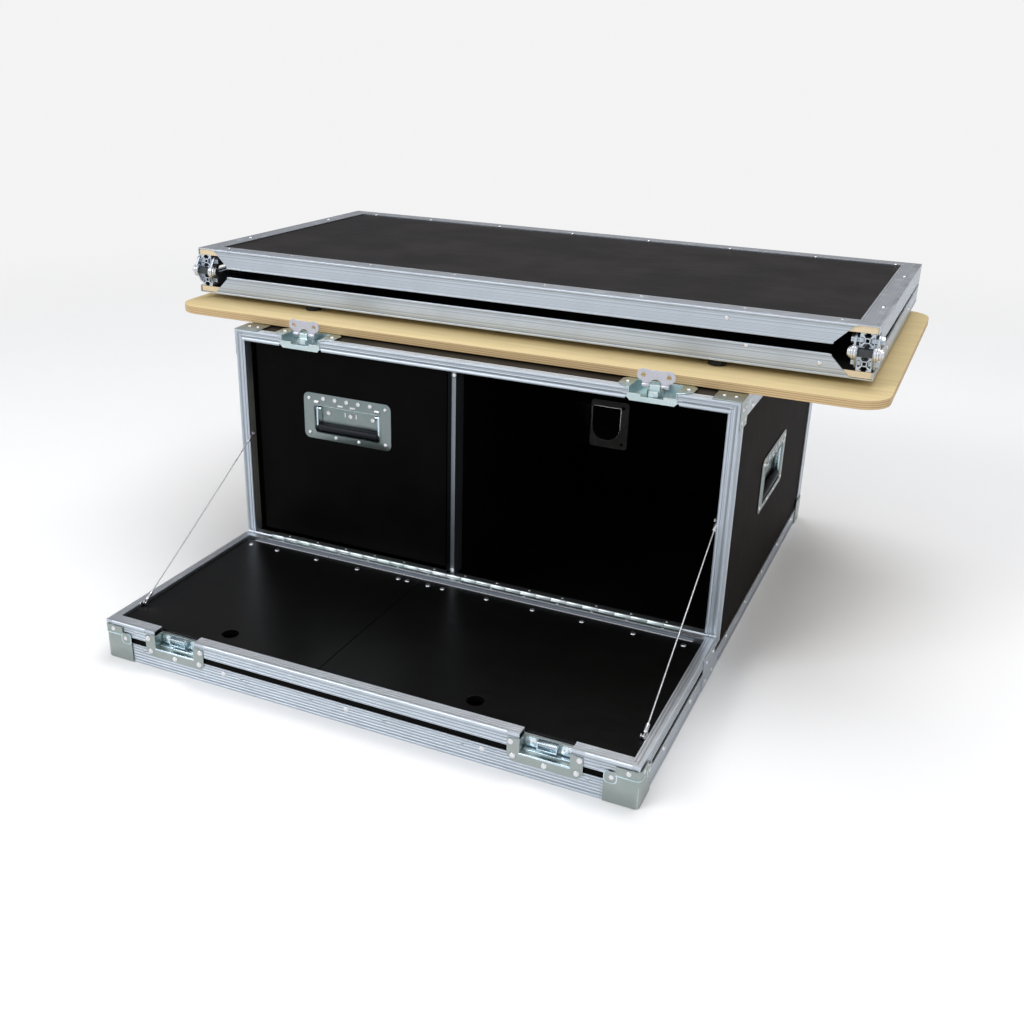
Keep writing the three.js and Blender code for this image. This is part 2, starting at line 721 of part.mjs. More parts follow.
function buildDrawer() {
  const drawer = new THREE.Group();
  caseBox.add(drawer);
  const { left, right } = drawerSides();
  const low = hingeAxisZ + drawerBottomReveal;
  const high = caseHeight - edgeProfileFace - drawerTopReveal;
  const handleRise = low + drawerBoxHeight - drawerHandleDrop;
  const middle = (left + right) / 2 - drawerHandleShift;
  const front = box(left, right, drawerSetback, drawerSetback + panelThick, low, high);
  const opening = extrude(handleCutter(drawerHandleWidth, drawerHandleHeight), 'y', -overrun,
    panelThick + overrun)
    .translate([middle, drawerSetback, handleRise]);
  piece(drawer, 'drawer_front', front.subtract(opening), colours.ply);

  const boxFront = drawerSetback + panelThick + seatGap;
  const boxBack = boxFront + drawerBoxDepth;
  const boxRight = dividerCentre - panelThick / 2 - seatGap * 2 - runnerWidth;
  const boxLeft = left;
  const body = box(boxLeft, boxRight, boxFront, boxBack, low, low + drawerBoxHeight);
  const inside = box(boxLeft + panelThick, boxRight - panelThick, boxFront + panelThick,
    boxBack - panelThick,
    low + panelThick, high + overrun);
  const panRoom = extrude(handleCutter(drawerHandleWidth, drawerHandleHeight), 'y', -overrun,
    panelThick + overrun)
    .translate([middle, boxFront, handleRise]);
  const runnerMiddle = low + runnerRise + runnerHeight / 2;
  const tongueLow = runnerMiddle - runnerTongueHeight / 2;
  const tongueHigh = runnerMiddle + runnerTongueHeight / 2;
  const tongues = [
    box(boxLeft - runnerTongueReach, boxLeft, boxFront + runnerSetback, boxBack, tongueLow, tongueHigh),
    box(boxRight, boxRight + runnerTongueReach, boxFront + runnerSetback, boxBack, tongueLow, tongueHigh),
  ];
  piece(drawer, 'drawer_box', union([cut(body, [inside, panRoom]), ...tongues]), colours.birch);

  const handle = buildHandle('drawer_handle', drawerHandleWidth, drawerHandleHeight);
  handle.position.set(middle, drawerSetback, handleRise);
  drawer.add(handle);

  const runnerFront = boxFront + runnerSetback;
  const runnerLow = low + runnerRise;
  const runnerSpots = [
    ['left', -panelInner + seatGap, boxLeft - seatGap, boxLeft - runnerTongueReach - seatGap * 2, boxLeft],
    ['right', boxRight + seatGap, boxRight + seatGap + runnerWidth, boxRight,
    boxRight + runnerTongueReach + seatGap * 2],
  ];
  for (const [name, x0, x1, slot0, slot1] of runnerSpots) {
    const rail = box(x0, x1, runnerFront, runnerFront + runnerLength, runnerLow, runnerLow + runnerHeight);
    const slot = box(slot0, slot1, runnerFront - overrun, runnerFront + runnerLength + overrun,
      tongueLow - seatGap, tongueHigh + seatGap);
    piece(caseBox, `drawer_runner_${name}`, rail.subtract(slot), colours.zinc);
  }
}

// Feed-through plate on the inside of the back panel, beside the divider. Its hole has a flat top
// and a round foot.
const outletLeft = dividerCentre + panelThick / 2 + outletStandoff;

function outletHole() {
  const x = outletLeft + outletHoleInset + outletRadius;
  const z = outletRise + outletHoleRise + outletRadius;
  const top = outletRise + outletHoleRise + outletHoleHeight;
  const front = backInner - outletThick - overrun;
  const foot = rod('y', front, backFace + overrun, x, z, outletRadius, rodSides * 2);
  return foot.add(box(x - outletRadius, x + outletRadius, front, backFace + overrun, z, top));
}

function buildOutlet() {
  const left = outletLeft;
  const back = backInner - seatGap;
  const plate = extrude(roundedOutline(left, left + outletWidth, outletRise, outletRise + outletHeight,
    handlePlateRadius), 'y', back - outletThick, back);
  const screws = [outletRise + outletScrewInset,
    outletRise + outletHeight - outletScrewInset].map((height) =>
    rod('y', back - outletThick - overrun, back + overrun, left + outletWidth - outletScrewInset, height,
      outletScrewRadius, smallRodSides));
  piece(caseBox, 'outlet_plate', cut(plate, [outletHole(), ...screws]), colours.grey);
}

// Flap: base panel in an angle frame, plywood walls with ledges, and a ribbed rim on top
const flap = new THREE.Group();
part.add(flap);
const lidTop = sillHeight - lidRecess;
const lidUnder = lidTop - panelThick;
const lidRear = flapRear - rimRear - lidHingeInset * 2;

function ringBox(x, front, rear, z0, z1) {
  return box(-x, x, flapFront + front, flapRear - rear, z0, z1);
}

function keeperCutters() {
  return sides.map(([, side]) => {
    const half = keeperPanWidth / 2 + seatGap;
    return box(side * latchCentre - half, side * latchCentre + half, flapFront - overrun,
      flapFront + keeperPanDepth + seatGap, sillHeight - keeperPanDrop - seatGap, sillHeight + overrun);
  });
}

// Above the keepers the rim is cut right through, down to a low strip that holds it together
function rimNotches() {
  return sides.map(([, side]) => {
    const half = keeperPanWidth / 2 + seatGap;
    return box(side * latchCentre - half, side * latchCentre + half, flapFront + keeperPanDepth,
      flapFront + rimFront + seatGap, sillHeight - keeperPanStep, sillHeight + overrun);
  });
}

function buildFlapTray() {
  piece(flap, 'flap_panel', ringBox(panelFace, skin, skin, skin, floorTop), colours.ply);

  const wallTop = sillHeight - profileWall - seatGap;
  const walls = ringBox(panelFace, skin, skin, floorTop + seatGap, wallTop)
    .subtract(ringBox(panelInner, floorTop, floorTop, -overrun, sillHeight + overrun));
  const ledgeTop = lidUnder - seatGap;
  const ledges = ringBox(panelInner, floorTop, floorTop, ledgeTop - ledgeHeight, ledgeTop)
    .subtract(ringBox(panelInner - ledgeWidth, floorTop + ledgeWidth, floorTop, -overrun, sillHeight));
  const rib = box(lidSeam - seamRibWidth / 2, lidSeam + seamRibWidth / 2, flapFront + floorTop,
    flapRear - floorTop - ledgeWidth, floorTop + seatGap, ledgeTop);
  piece(flap, 'flap_frame', cut(union([walls, ledges, rib]), keeperCutters()), colours.ply);

  const rimLow = sillHeight - rimHeight;
  const outer = ringBox(halfCase, 0, 0, rimLow, sillHeight)
    .subtract(ringBox(halfCase - rimSide, rimFront, rimRear, -overrun, sillHeight + overrun));
  const trough = ringBox(halfCase - profileWall, profileWall, profileWall, rimLow - overrun,
    sillHeight - profileWall)
    .subtract(ringBox(halfCase - rimSide + profileWall, rimFront - profileWall, rimRear - profileWall,
      rimLow - overrun,
      sillHeight));
  const innerLow = ringBox(halfCase - rimSide + profileWall + seatGap, rimFront - profileWall - seatGap,
    rimRear - profileWall - seatGap, rimLow - overrun, lidUnder);
  const relief = rod('x', -halfCase - overrun, halfCase + overrun, hingeAxisY, hingeAxisZ,
    hingeKnuckleRadius + 2 * seatGap, rodSides * 2);
  piece(flap, 'flap_rim', cut(outer, [trough, innerLow, relief, ...keeperCutters(),
    ...rimNotches()]), colours.aluminium);
}

const flapRivetShares = [-0.84, -0.42, -0.14, 0.14, 0.42, 0.84];
const flapSideRivetShares = [0.35, 0.7];

function buildFlapAngle() {
  const ring = ringBox(halfCase, 0, 0, 0, angleLeg).subtract(ringBox(halfCase - angleThick, angleThick,
    angleThick,
    angleThick, angleLeg + overrun));
  const open = ring.subtract(ringBox(halfCase - angleLeg, angleLeg, angleLeg, -overrun,
    angleLeg + overrun));
  const extras = [];
  for (const share of flapRivetShares) {
    extras.push(rivet('y', -1, halfCase * share, flapFront, angleLeg * rivetLineShare));
  }
  for (const [, side] of sides) {
    extras.push(sideBox(side, halfCase, halfCase + fittingThick, flapRear - flapBraceLength, flapRear,
      flapBraceRise,
      flapBraceRise + flapBraceHeight));
    for (const share of flapSideRivetShares) {
      extras.push(rivet('x', side, side * halfCase, flapFront * share, angleLeg * rivetLineShare));
    }
  }
  piece(flap, 'flap_angle', union([open, ...extras]), colours.aluminium);
}

// Places of the hinge rivets, as shares of half the width of the case
const lidRivetShares = {
  left: [-0.92, -0.793, -0.605, -0.415, -0.23, -0.19],
  right: [-0.1, -0.038, 0.148, 0.335, 0.53, 0.725, 0.91],
};

function buildLids() {
  const lidFront = flapFront + rimFront + lidEdgeGap;
  const lidOuter = halfCase - rimSide - lidEdgeGap;
  const spans = { left: [-lidOuter, lidSeam - lidSeamGap / 2], right: [lidSeam + lidSeamGap / 2,
    lidOuter] };
  sides.forEach(([name], index) => {
    const lid = box(spans[name][0], spans[name][1], lidFront, lidRear, lidUnder, lidTop);
    const hole = rod('z', lidUnder - overrun, lidTop + overrun, halfCase * fingerHoleShares[index],
      flapFront + fingerHoleInset, fingerHoleRadius, rodSides * 2);
    const heads = lidRivetShares[name].map((share) =>
      rivet('z', 1, halfCase * share, lidRear - angleLeg / 2, lidTop));
    piece(flap, `flap_lid_${name}`, union([lid.subtract(hole), ...heads]), colours.ply);
  });

  const wall = flapRear - rimRear - seatGap;
  const axisY = wall - lidHingeInset + seatGap;
  const axisZ = lidTop - lidHingeDrop;
  const half = lidOuter - lidHingeMargin;
  const leaf = box(-half, half, wall - hingeLeaf, wall, axisZ - lidHingeLeafHeight, axisZ);
  const web = box(-half, half, axisY, wall, axisZ - hingeLeaf, axisZ);
  const bead = rod('x', -half, half, axisY, axisZ, lidHingeRadius, smallRodSides);
  piece(flap, 'lid_hinge', union([leaf, web, bead]), colours.steel);
}

function buildFlapCorners() {
  for (const [name, side] of sides) {
    const face = halfCase + seatGap;
    const front = flapFront - seatGap;
    const outer = roundedOutline(-halfCase, face + fittingThick, front - fittingThick, halfCase,
      flapCornerRadius);
    const inner = [[-caseWidth, front], [face, front], [face, caseWidth], [-caseWidth, caseWidth]];
    const shell = extrude(outer, 'z', seatGap, flapCornerHeight)
      .subtract(extrude(inner, 'z', -overrun, flapCornerHeight + overrun));
    const kept = box(face - flapCornerReach, face + overrun, front - overrun, front + flapCornerReach,
      -overrun,
      flapCornerHeight + overrun);
    const heads = [
      rivet('y', -1, halfCase - flapCornerReach / 2, front - fittingThick, angleLeg * flapCornerRivetShare),
      rivet('x', 1, face + fittingThick, front + flapCornerReach / 2, angleLeg * flapCornerRivetShare),
    ];
    const corner = union([shell.intersect(kept), ...heads]);
    piece(flap, `flap_corner_${name}`, side > 0 ? corner : corner.mirror([1, 0, 0]), colours.zinc);
  }
}

function buildKeepers() {
  for (const [name, side] of sides) {
    const group = new THREE.Group();
    group.position.set(side * latchCentre, flapFront, sillHeight);
    const half = keeperWidth / 2;
    const halfPan = keeperPanWidth / 2;
    const face = -seatGap - plateThick;
    const outline = [
      [-half + keeperChamfer, -keeperDrop], [half - keeperChamfer, -keeperDrop], [half,
        -keeperDrop + keeperChamfer],
      [half, -keeperChamfer], [halfPan, -keeperPanStep + latchPlate],
      [-halfPan, -keeperPanStep + latchPlate],
      [-half, -keeperChamfer], [-half, -keeperDrop + keeperChamfer],
    ];
    const plate = extrude(outline, 'y', face, -seatGap);
    const pan = box(-halfPan, halfPan, face, keeperPanDepth, -keeperPanDrop, -keeperPanStep);
    const hollow = box(-halfPan + plateThick, halfPan - plateThick, face - overrun,
      keeperPanDepth - plateThick,
      -keeperPanDrop + plateThick, overrun);
    const catchTop = keeperPanDepth - plateThick / 2;
    const catchBar = box(-keeperCatchWidth / 2, keeperCatchWidth / 2, catchTop - keeperCatchReach,
      catchTop,
      -keeperCatchDrop - keeperCatchThick, -keeperCatchDrop);
    const heads = [-1, 1].map((s) => rivet('y', -1, s * (half - keeperChamfer), face,
      -keeperDrop + keeperChamfer));
    piece(group, `flap_keeper_${name}`, union([cut(union([plate, pan]), [hollow]), catchBar, ...heads]),
      colours.zinc);
    flap.add(group);
  }
}

// Wire stays: an eye at each end of the wire hangs on a headed screw
function stayEnds() {
  return {
    top: { y: stayTopSetback, z: stayTopRise, wall: halfCase - edgeProfileFace - seatGap },
    foot: {
      y: -stayFootReach,
      z: sillHeight,
      wall: halfCase - rimSide - seatGap - stayBracketThick,
    },
  };
}

function stayScrew(side, end) {
  const tip = end.wall - stayScrewReach;
  const span = (a, b) => [Math.min(side * a, side * b), Math.max(side * a, side * b)];
  const shank = span(tip, end.wall);
  const head = span(tip - stayHeadThick, tip);
  return rod('x', shank[0], shank[1], end.y, end.z, stayScrewRadius, smallRodSides)
    .add(rod('x', head[0], head[1], end.y, end.z, stayHeadRadius, smallRodSides));
}

function stayWire(side, top, foot) {
  const from = new THREE.Vector3(side * (top.wall - stayScrewReach / 2), top.y, top.z);
  const to = new THREE.Vector3(side * (foot.wall - stayScrewReach / 2), foot.y, foot.z);
  const along = to.clone().sub(from).normalize();
  const eyes = [from, to].map((at) => rod('x', at.x - stayEyeThick / 2, at.x + stayEyeThick / 2, at.y, at.z,
    stayEyeRadius));
  const line = (start, end, radius) => {
    const path = new THREE.LineCurve3(start, end);
    const section = new THREE.Shape();
    section.absarc(0, 0, radius, 0, Math.PI * 2);
    return toSolid(new THREE.ExtrudeGeometry(section, {
      extrudePath: path, steps: 1, curveSegments: smallRodSides, bevelEnabled: false,
    }));
  };
  const at = (origin, distance) => origin.clone().addScaledVector(along, distance);
  const inset = stayEyeRadius - stayEyeThick / 2;
  const body = union([
    ...eyes,
    line(at(from, inset), at(to, -inset), wireRadius),
    line(at(from, stayEyeRadius), at(from, stayEyeRadius + sleeveLength), sleeveRadius),
    line(at(to, -stayEyeRadius - sleeveLength), at(to, -stayEyeRadius), sleeveRadius),
  ]);
  const bores = [from, to].map((spot) => rod('x', spot.x - overrun, spot.x + overrun, spot.y, spot.z,
    stayScrewRadius + seatGap, smallRodSides));
  return cut(body, bores);
}

function buildStays() {
  const { top, foot } = stayEnds();
  for (const [name, side] of sides) {
    piece(caseBox, `stay_anchor_case_${name}`, stayScrew(side, top), colours.steel);
    const bracket = sideBox(side, foot.wall, foot.wall + stayBracketThick, foot.y - stayBracketWidth / 2,
      foot.y + stayBracketWidth / 2, foot.z - stayBracketHeight / 2, foot.z + stayBracketHeight / 2);
    piece(flap, `stay_anchor_flap_${name}`, stayScrew(side, foot).add(bracket), colours.steel);
    piece(part, `stay_wire_${name}`, stayWire(side, top, foot), colours.steel);
  }
}

// Loose birch board
function buildBoard() {
  const half = boardWidth / 2;
  const outline = roundedOutline(boardCentre - half, boardCentre + half, boardSetback,
    boardSetback + boardDepth,
    boardCornerRadius);
  piece(part, 'deck_board', extrude(outline, 'z', boardBase, boardBase + boardThick), colours.birch);
}

// One leaf of the folded unit, drawn lying on its back: outer flanges at z = 0, rails on top
function railOutline() {
  const half = railSize / 2;
  const mouth = railSlot / 2;
  const inner = railSlotInner / 2;
  const floor = half - railSlotDepth;
  const lip = half - railSlotLip;
  const face = [
    [half, half], [mouth, half], [mouth, lip], [inner, lip], [floor * railFloorShare, floor],
    [-floor * railFloorShare, floor], [-inner, lip], [-mouth, lip], [-mouth, half],
  ];
  const points = [];
  for (let i = 0; i < 4; i += 1) {
    const angle = i * Math.PI / 2;
    const [c, d] = [Math.cos(angle), Math.sin(angle)];
    points.push(...face.map(([u, v]) => [u * c - v * d, u * d + v * c]));
  }
  return points;
}

function linkOutline(pivotY, pivotZ, boltY, boltZ) {
  const heading = Math.atan2(boltZ - pivotZ, boltY - pivotY);
  const shape = new THREE.Shape();
  shape.absarc(pivotY, pivotZ, linkRadius, heading + Math.PI / 2, heading + Math.PI * 1.5);
  shape.absarc(boltY, boltZ, linkRadius, heading - Math.PI / 2, heading + Math.PI / 2);
  return shape;
}

function buildLeaf(prefix, carriesPin, sideNames) {
  const leaf = new THREE.Group();
  const half = unitWidth / 2;
  const outer = half - skin;
  const ring = box(-half, half, 0, unitDepth, 0, angleThick)
    .subtract(box(-half + angleLeg, half - angleLeg, angleLeg, unitDepth - angleLeg, -overrun, overrun));
  const legOutline = [[-frontLegHalf, 0], [frontLegHalf, 0], [frontLegHalf - angleLeg, angleLeg],
    [-frontLegHalf + angleLeg, angleLeg]];
  const legs = [extrude(legOutline, 'y', 0, angleThick), box(-half, half, unitDepth - angleThick,
    unitDepth, 0, angleLeg)];
  for (const [, side] of sides) {
    legs.push(sideBox(side, half - angleThick, half, 0, unitDepth, 0, angleLeg)
      .subtract(sideBox(side, half - overrun, half + overrun, -overrun, sideLegCutLength, sideLegCutRise,
        angleLeg + overrun)));
  }
  const boardSolids = [box(-outer, outer, skin, unitDepth - skin, skin, skin + panelThick)];
  let frame = union([ring, ...legs]);
  if (carriesPin) {
    for (const [, side] of sides) {
      for (const y of [footInset, unitDepth - footInset]) {
        const x = side * footSpacing / 2;
        boardSolids.push(rod('z', -footHeight, skin + panelThick / 2, x, y, footRadius));
        frame = frame.subtract(rod('z', -overrun, overrun, x, y, footRadius + seatGap));
      }
    }
  }
  piece(leaf, `${prefix}_leaf_angles`, frame, colours.aluminium);
  piece(leaf, `${prefix}_leaf_panel`, union(boardSolids), colours.ply);

  const railMiddle = half - railInset - railSize / 2;
  const railLow = skin + panelThick + seatGap;
  const railZ = railLow + railSize / 2;
  const pivotZ = leafHeight + leafGap / 2;
  const plateInner = carriesPin ? railSize / 2 : railSize / 2 + linkThick + seatGap;
  for (const [, side] of sides) {
    const centre = side * railMiddle;
    const outline = railOutline().map(([u, v]) => [centre + u, railZ + v]);
    const core = box(centre - railCore / 2, centre + railCore / 2, -overrun, unitDepth + overrun,
      railZ - railCore / 2,
      railZ + railCore / 2);
    const solids = [extrude(outline, 'y', skin, unitDepth - skin).subtract(core)];
    for (const s of [-1, 1]) {
      const x0 = centre + (s > 0 ? plateInner : -plateInner - linkThick);
      const plate = extrude(linkOutline(-linkPivotReach, pivotZ, linkBoltInset, railZ), 'x', x0,
        x0 + linkThick);
      const reach = plateInner + linkThick + linkHeadLength;
      const boltSpan = [centre + s * railCore, centre + s * reach];
      const bolt = rod('x', Math.min(...boltSpan), Math.max(...boltSpan), linkBoltInset, railZ,
        linkSpacerRadius,
        smallRodSides);
      const bore = rod('x', x0 - overrun, x0 + linkThick + overrun, -linkPivotReach, pivotZ,
        linkPinRadius + seatGap);
      solids.push((carriesPin ? plate : plate.subtract(bore)).add(bolt));
    }
    if (carriesPin) {
      const pinHalf = railSize / 2 + 2 * (linkThick + seatGap);
      solids.push(rod('x', centre - pinHalf, centre + pinHalf, -linkPivotReach, pivotZ, linkPinRadius));
      for (const s of [-1, 1]) {
        const headSpan = [centre + s * pinHalf, centre + s * (pinHalf + linkHeadLength)];
        solids.push(rod('x', Math.min(...headSpan), Math.max(...headSpan), -linkPivotReach, pivotZ,
          linkHeadRadius,
          smallRodSides));
      }
    }
    piece(leaf, `${prefix}_rail_${sideNames[side]}`, union(solids), colours.aluminium);
  }
  return leaf;
}

function buildUnit() {
  const unit = new THREE.Group();
  unit.position.set(unitCentre, unitSetback, unitBase);
  part.add(unit);
  unit.add(buildLeaf('lower', true, { [-1]: 'left', [1]: 'right' }));

  const pivot = new THREE.Group();
  pivot.position.set(0, -linkPivotReach, leafHeight + leafGap / 2);
  pivot.rotation.x = -leafRestTilt;
  const upper = buildLeaf('upper', false, { [-1]: 'right', [1]: 'left' });
  upper.rotation.y = Math.PI;
  upper.position.set(0, linkPivotReach, leafHeight + leafGap / 2);
  pivot.add(upper);
  unit.add(pivot);
}

buildShell();
buildFrontFrame();
buildCaseAngles();
buildDivider();
buildCaseCorners();
buildCaseHinge();
buildSideHandles();
for (const [name, side] of sides) caseBox.add(buildLatch(name, side));
buildDrawer();
buildOutlet();
buildFlapTray();
buildFlapAngle();
buildLids();
buildFlapCorners();
buildKeepers();
piece(flap, 'hinge_flap_leaf', hingeLeafSolid(-1), colours.zinc);
buildStays();
buildBoard();
buildUnit();

// The origin is the middle of the bounding box, on the ground
part.updateMatrixWorld(true);
const bounds = new THREE.Box3().setFromObject(part, true);
part.position.set(-(bounds.min.x + bounds.max.x) / 2, -(bounds.min.y + bounds.max.y) / 2, -bounds.min.z);

export default part;
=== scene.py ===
"""Dresses the camping box: finishes for every piece, and the small parts that the eye looks for."""
import math
import bpy
from bpy.props import FloatProperty, FloatVectorProperty, IntProperty, PointerProperty
from mathutils import Matrix, Vector


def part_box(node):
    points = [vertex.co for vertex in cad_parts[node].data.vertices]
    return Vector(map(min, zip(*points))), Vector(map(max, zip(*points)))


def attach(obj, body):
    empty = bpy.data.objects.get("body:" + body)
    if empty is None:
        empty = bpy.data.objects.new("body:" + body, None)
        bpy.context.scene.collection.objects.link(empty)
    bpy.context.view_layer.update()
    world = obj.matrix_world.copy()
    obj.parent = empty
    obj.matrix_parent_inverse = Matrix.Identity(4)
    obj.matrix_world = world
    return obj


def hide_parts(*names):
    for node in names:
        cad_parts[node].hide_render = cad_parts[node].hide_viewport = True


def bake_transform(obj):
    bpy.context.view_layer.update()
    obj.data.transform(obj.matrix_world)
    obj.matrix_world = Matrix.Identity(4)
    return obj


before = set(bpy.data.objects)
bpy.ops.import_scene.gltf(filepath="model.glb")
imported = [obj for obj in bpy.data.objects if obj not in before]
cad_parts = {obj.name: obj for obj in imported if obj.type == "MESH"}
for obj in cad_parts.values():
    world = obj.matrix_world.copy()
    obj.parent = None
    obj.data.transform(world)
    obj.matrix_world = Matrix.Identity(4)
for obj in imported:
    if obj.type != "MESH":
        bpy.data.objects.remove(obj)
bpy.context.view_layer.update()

bl_info = {
    "name": "Camping box",
    "version": (1, 0, 0),
    "blender": (4, 5, 0),
    "location": "View3D > Sidebar > Camping box",
    "description": "Finishes and small parts for a camping box with flap, drawer and folded table",
    "category": "Object",
}

MM = 0.001
X_AXIS, Y_AXIS, Z_AXIS = Vector((1, 0, 0)), Vector((0, 1, 0)), Vector((0, 0, 1))
SIDES = (("left", -1), ("right", 1))
# The least cosine between two directions that count as one
NEARLY = 0.9

# Places in millimetres: right of the case's middle, behind its front and above the ground
HALF_CASE = 400
CASE_BACK = 632
ANGLE_ROW, TOP_ROW = 22.5, 383.5
BRACE_FACE, CORNER_FACE = 401.3, 401.2
FLAP_FRONT = -347
KEEPER_FACE = FLAP_FRONT - 1.5
LATCH_CENTRE = 280
HINGE_PIN = (-1.5, 60.5)
TABLE_CENTRE = 3
TABLE_HALF = 544
TABLE_FRONT = 101
LID_RIVETS = (-368, -317.2, -242, -166, -92, -76, -40, -15.2, 59.2, 134, 212, 290, 364)
TABLE_RIVETS = (-495, -373, -226, -78, 69, 217, 365, 495)

# Distances in millimetres: from the table's middle, from a keeper's middle and the ground, from a corner,
# along the hinge, along and across a stay wire, and the width of the plate that the handles are drawn for
TABLE_LINK, TABLE_RIB_HALF = 530, 516.5
KEEPER_RIVETS = ((-45.2, 46.5), (-42, 27), (0, 24.5), (42, 27), (45.2, 46.5))
REAR_CORNER_RIVETS = ((32, 12), (32, 32), (14, 36))
KNUCKLE_START, KNUCKLE_STEP = -337.5, 50
SCREW_START, SCREW_STEP = 28, 54
STRAND_PITCH, STAY_SAG = 16, 1.2
CORNER_SHEET = 1.2
DRAWER_PLATE = 156

# Counts, and the fall of the folded table's upper face in degrees
KNUCKLES, SCREWS, STEPS_PER_TURN = 14, 13, 8
TABLE_TILT = 1.172

# The camera, solved from the photo: place and sensor in millimetres, turn in degrees, the rest in pixels
CAMERA_PLACE = (694, -1458, 874)
CAMERA_TURN = (-25.12, -23.05, 0.89)
SENSOR = 36
FOCAL_LENGTH = 1162.1
PICTURE_MIDDLE = (469.0, 503.2)
PICTURE = 1024

# The floor in metres, and the colours that aren't the user's
FLOOR_RADIUS, FLOOR_RINGS = 14, (9, 3)
BACKDROP = (0.9, 0.9, 0.9)
ROOM_LEVEL = (0.8, 0.8, 0.8)
PLAIN = (1.0, 1.0, 1.0)
# Tints of the room along an axis, from -1 to 1: front to back, left to right, and upwards
FRONT_TINTS = (
    (-1.0, (1.0, 1.02, 1.06)), (-0.3, (0.8, 0.82, 0.86)), (0.25, (0.3, 0.3, 0.31)), (1.0, (0.26, 0.26, 0.27)),
)
SIDE_TINTS = ((-1.0, (0.94, 0.98, 1.05)), (0.0, PLAIN), (1.0, (1.02, 0.97, 0.93)))
RISE_TINTS = ((0.0, PLAIN), (0.3, (0.85, 0.85, 0.86)), (0.75, PLAIN), (1.0, (1.25, 1.25, 1.25)))
ROOM_TINTS = ((1, FRONT_TINTS), (0, SIDE_TINTS), (2, RISE_TINTS))
DUST = (0.4, 0.38, 0.36)
RUBBER = (0.014, 0.015, 0.015)
LEAF_EDGE = (0.7, 0.58, 0.4)
# Painted sheen: faces of the aluminium profiles that look upwards are mixed halfway towards this pale colour
PAINTED_TOP_SHEEN = (0.95, 0.97, 1.0)

angle_low, angle_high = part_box("case_angles")
CASE_MIDDLE = (angle_low.x + angle_high.x) / 2
CASE_FRONT = angle_high.y - CASE_BACK * MM


def spot(x, y, z):
    """A point in metres from a place in millimetres."""
    return Vector((CASE_MIDDLE + x * MM, CASE_FRONT + y * MM, z * MM))


# Modelling by hand, in the steps that a modeller takes


def deselect():
    if bpy.context.object and bpy.context.object.mode != "OBJECT":
        bpy.ops.object.mode_set(mode="OBJECT")
    bpy.ops.object.select_all(action="DESELECT")


def choose(made):
    """Makes a piece the active one, and the only one selected."""
    deselect()
    bpy.context.view_layer.objects.active = made
    made.select_set(True)


def settle(name, along=None):
    """Lays the new object along a direction, if one is given, and puts its place into its mesh."""
    made = bpy.context.object
    if along is not None:
        made.rotation_mode = "QUATERNION"
        made.rotation_quaternion = Vector(along).to_track_quat("Z", "Y")
    bpy.ops.object.transform_apply(location=True, rotation=True, scale=True)
    made.name = made.data.name = name
    return made


def start_block(name, low, high):
    """A block between its low corner and its high one."""
    deselect()
    bpy.ops.mesh.primitive_cube_add(size=1, location=(low + high) / 2)
    bpy.context.object.scale = high - low
    return settle(name)


def start_round(name, centre, along, radius, depth, sides):
    """A bar whose middle is at centre, lying along a direction."""
    deselect()
    bpy.ops.mesh.primitive_cylinder_add(vertices=sides, radius=radius, depth=depth, location=centre)
    return settle(name, along)


def start_sheet(name, centre, width, height):
    """An upright sheet that faces -Y."""
    deselect()
    bpy.ops.mesh.primitive_plane_add(size=1, location=centre, rotation=(math.radians(90), 0, 0))
    bpy.context.object.scale = (width, height, 1)
    return settle(name)


def pick(made, kind, test):
    """Goes to edit mode with those faces or edges selected whose middle and direction pass a test."""
    choose(made)
    mesh = made.data
    for group in (mesh.vertices, mesh.edges, mesh.polygons):
        group.foreach_set("select", [False] * len(group))
    for each in mesh.polygons if kind == "FACE" else mesh.edges:
        if kind == "FACE":
            middle, way = each.center, each.normal
        else:
            a, b = (mesh.vertices[index].co for index in each.vertices)
            middle, way = (a + b) / 2, (b - a).normalized()
        if test(middle, way):
            each.select = True
            for index in each.vertices:
                mesh.vertices[index].select = True
    bpy.ops.object.mode_set(mode="EDIT")
    bpy.ops.mesh.select_mode(type=kind)


def done():
    """Leaves edit mode."""
    bpy.ops.object.mode_set(mode="OBJECT")


def anywhere(middle, way):
    return True


def facing(direction):
    """A test for the faces that look in a direction."""
    return lambda middle, normal: normal.dot(Vector(direction)) > NEARLY


def running(direction):
    """A test for the edges that run along a direction."""
    return lambda middle, way: abs(way.dot(Vector(direction))) > NEARLY


def round_off(made, test, width, segments, kind="EDGE"):
    """Bevels the edges that pass a test, or those of the faces that pass it."""
    pick(made, kind, test)
    bpy.ops.mesh.bevel(offset=width, segments=segments, affect="EDGES")
    done()


def push(step):
    """Extrudes what is selected by a step."""
    bpy.ops.mesh.extrude_region_move(TRANSFORM_OT_translate={"value": tuple(step)})


def step_face(made, direction, width, step):
    """Insets the faces that look in a direction, and extrudes them by a step."""
    pick(made, "FACE", facing(direction))
    bpy.ops.mesh.inset(thickness=width)
    push(step)
    done()


def smooth(angle):
    bpy.ops.object.shade_smooth_by_angle(angle=math.radians(angle))


def modify(made, kind, **choices):
    """Adds a modifier to a piece and applies it."""
    choose(made)
    modifier = made.modifiers.new(kind.title(), kind)
    for key, value in choices.items():
        setattr(modifier, key, value)
    bpy.ops.object.modifier_apply(modifier=modifier.name)


def soften(made, width, segments=2, angle=30):
    """Bevels every sharp edge and shades the piece smooth."""
    modify(made, "BEVEL", width=width, segments=segments, limit_method="ANGLE", angle_limit=math.radians(angle))
    smooth(40)
    return made


def combine(made, operation, other):
    """Adds another shape to a piece or cuts it away; the other shape goes."""
    modify(made, "BOOLEAN", operation=operation, solver="EXACT", object=other)
    bpy.data.objects.remove(other)


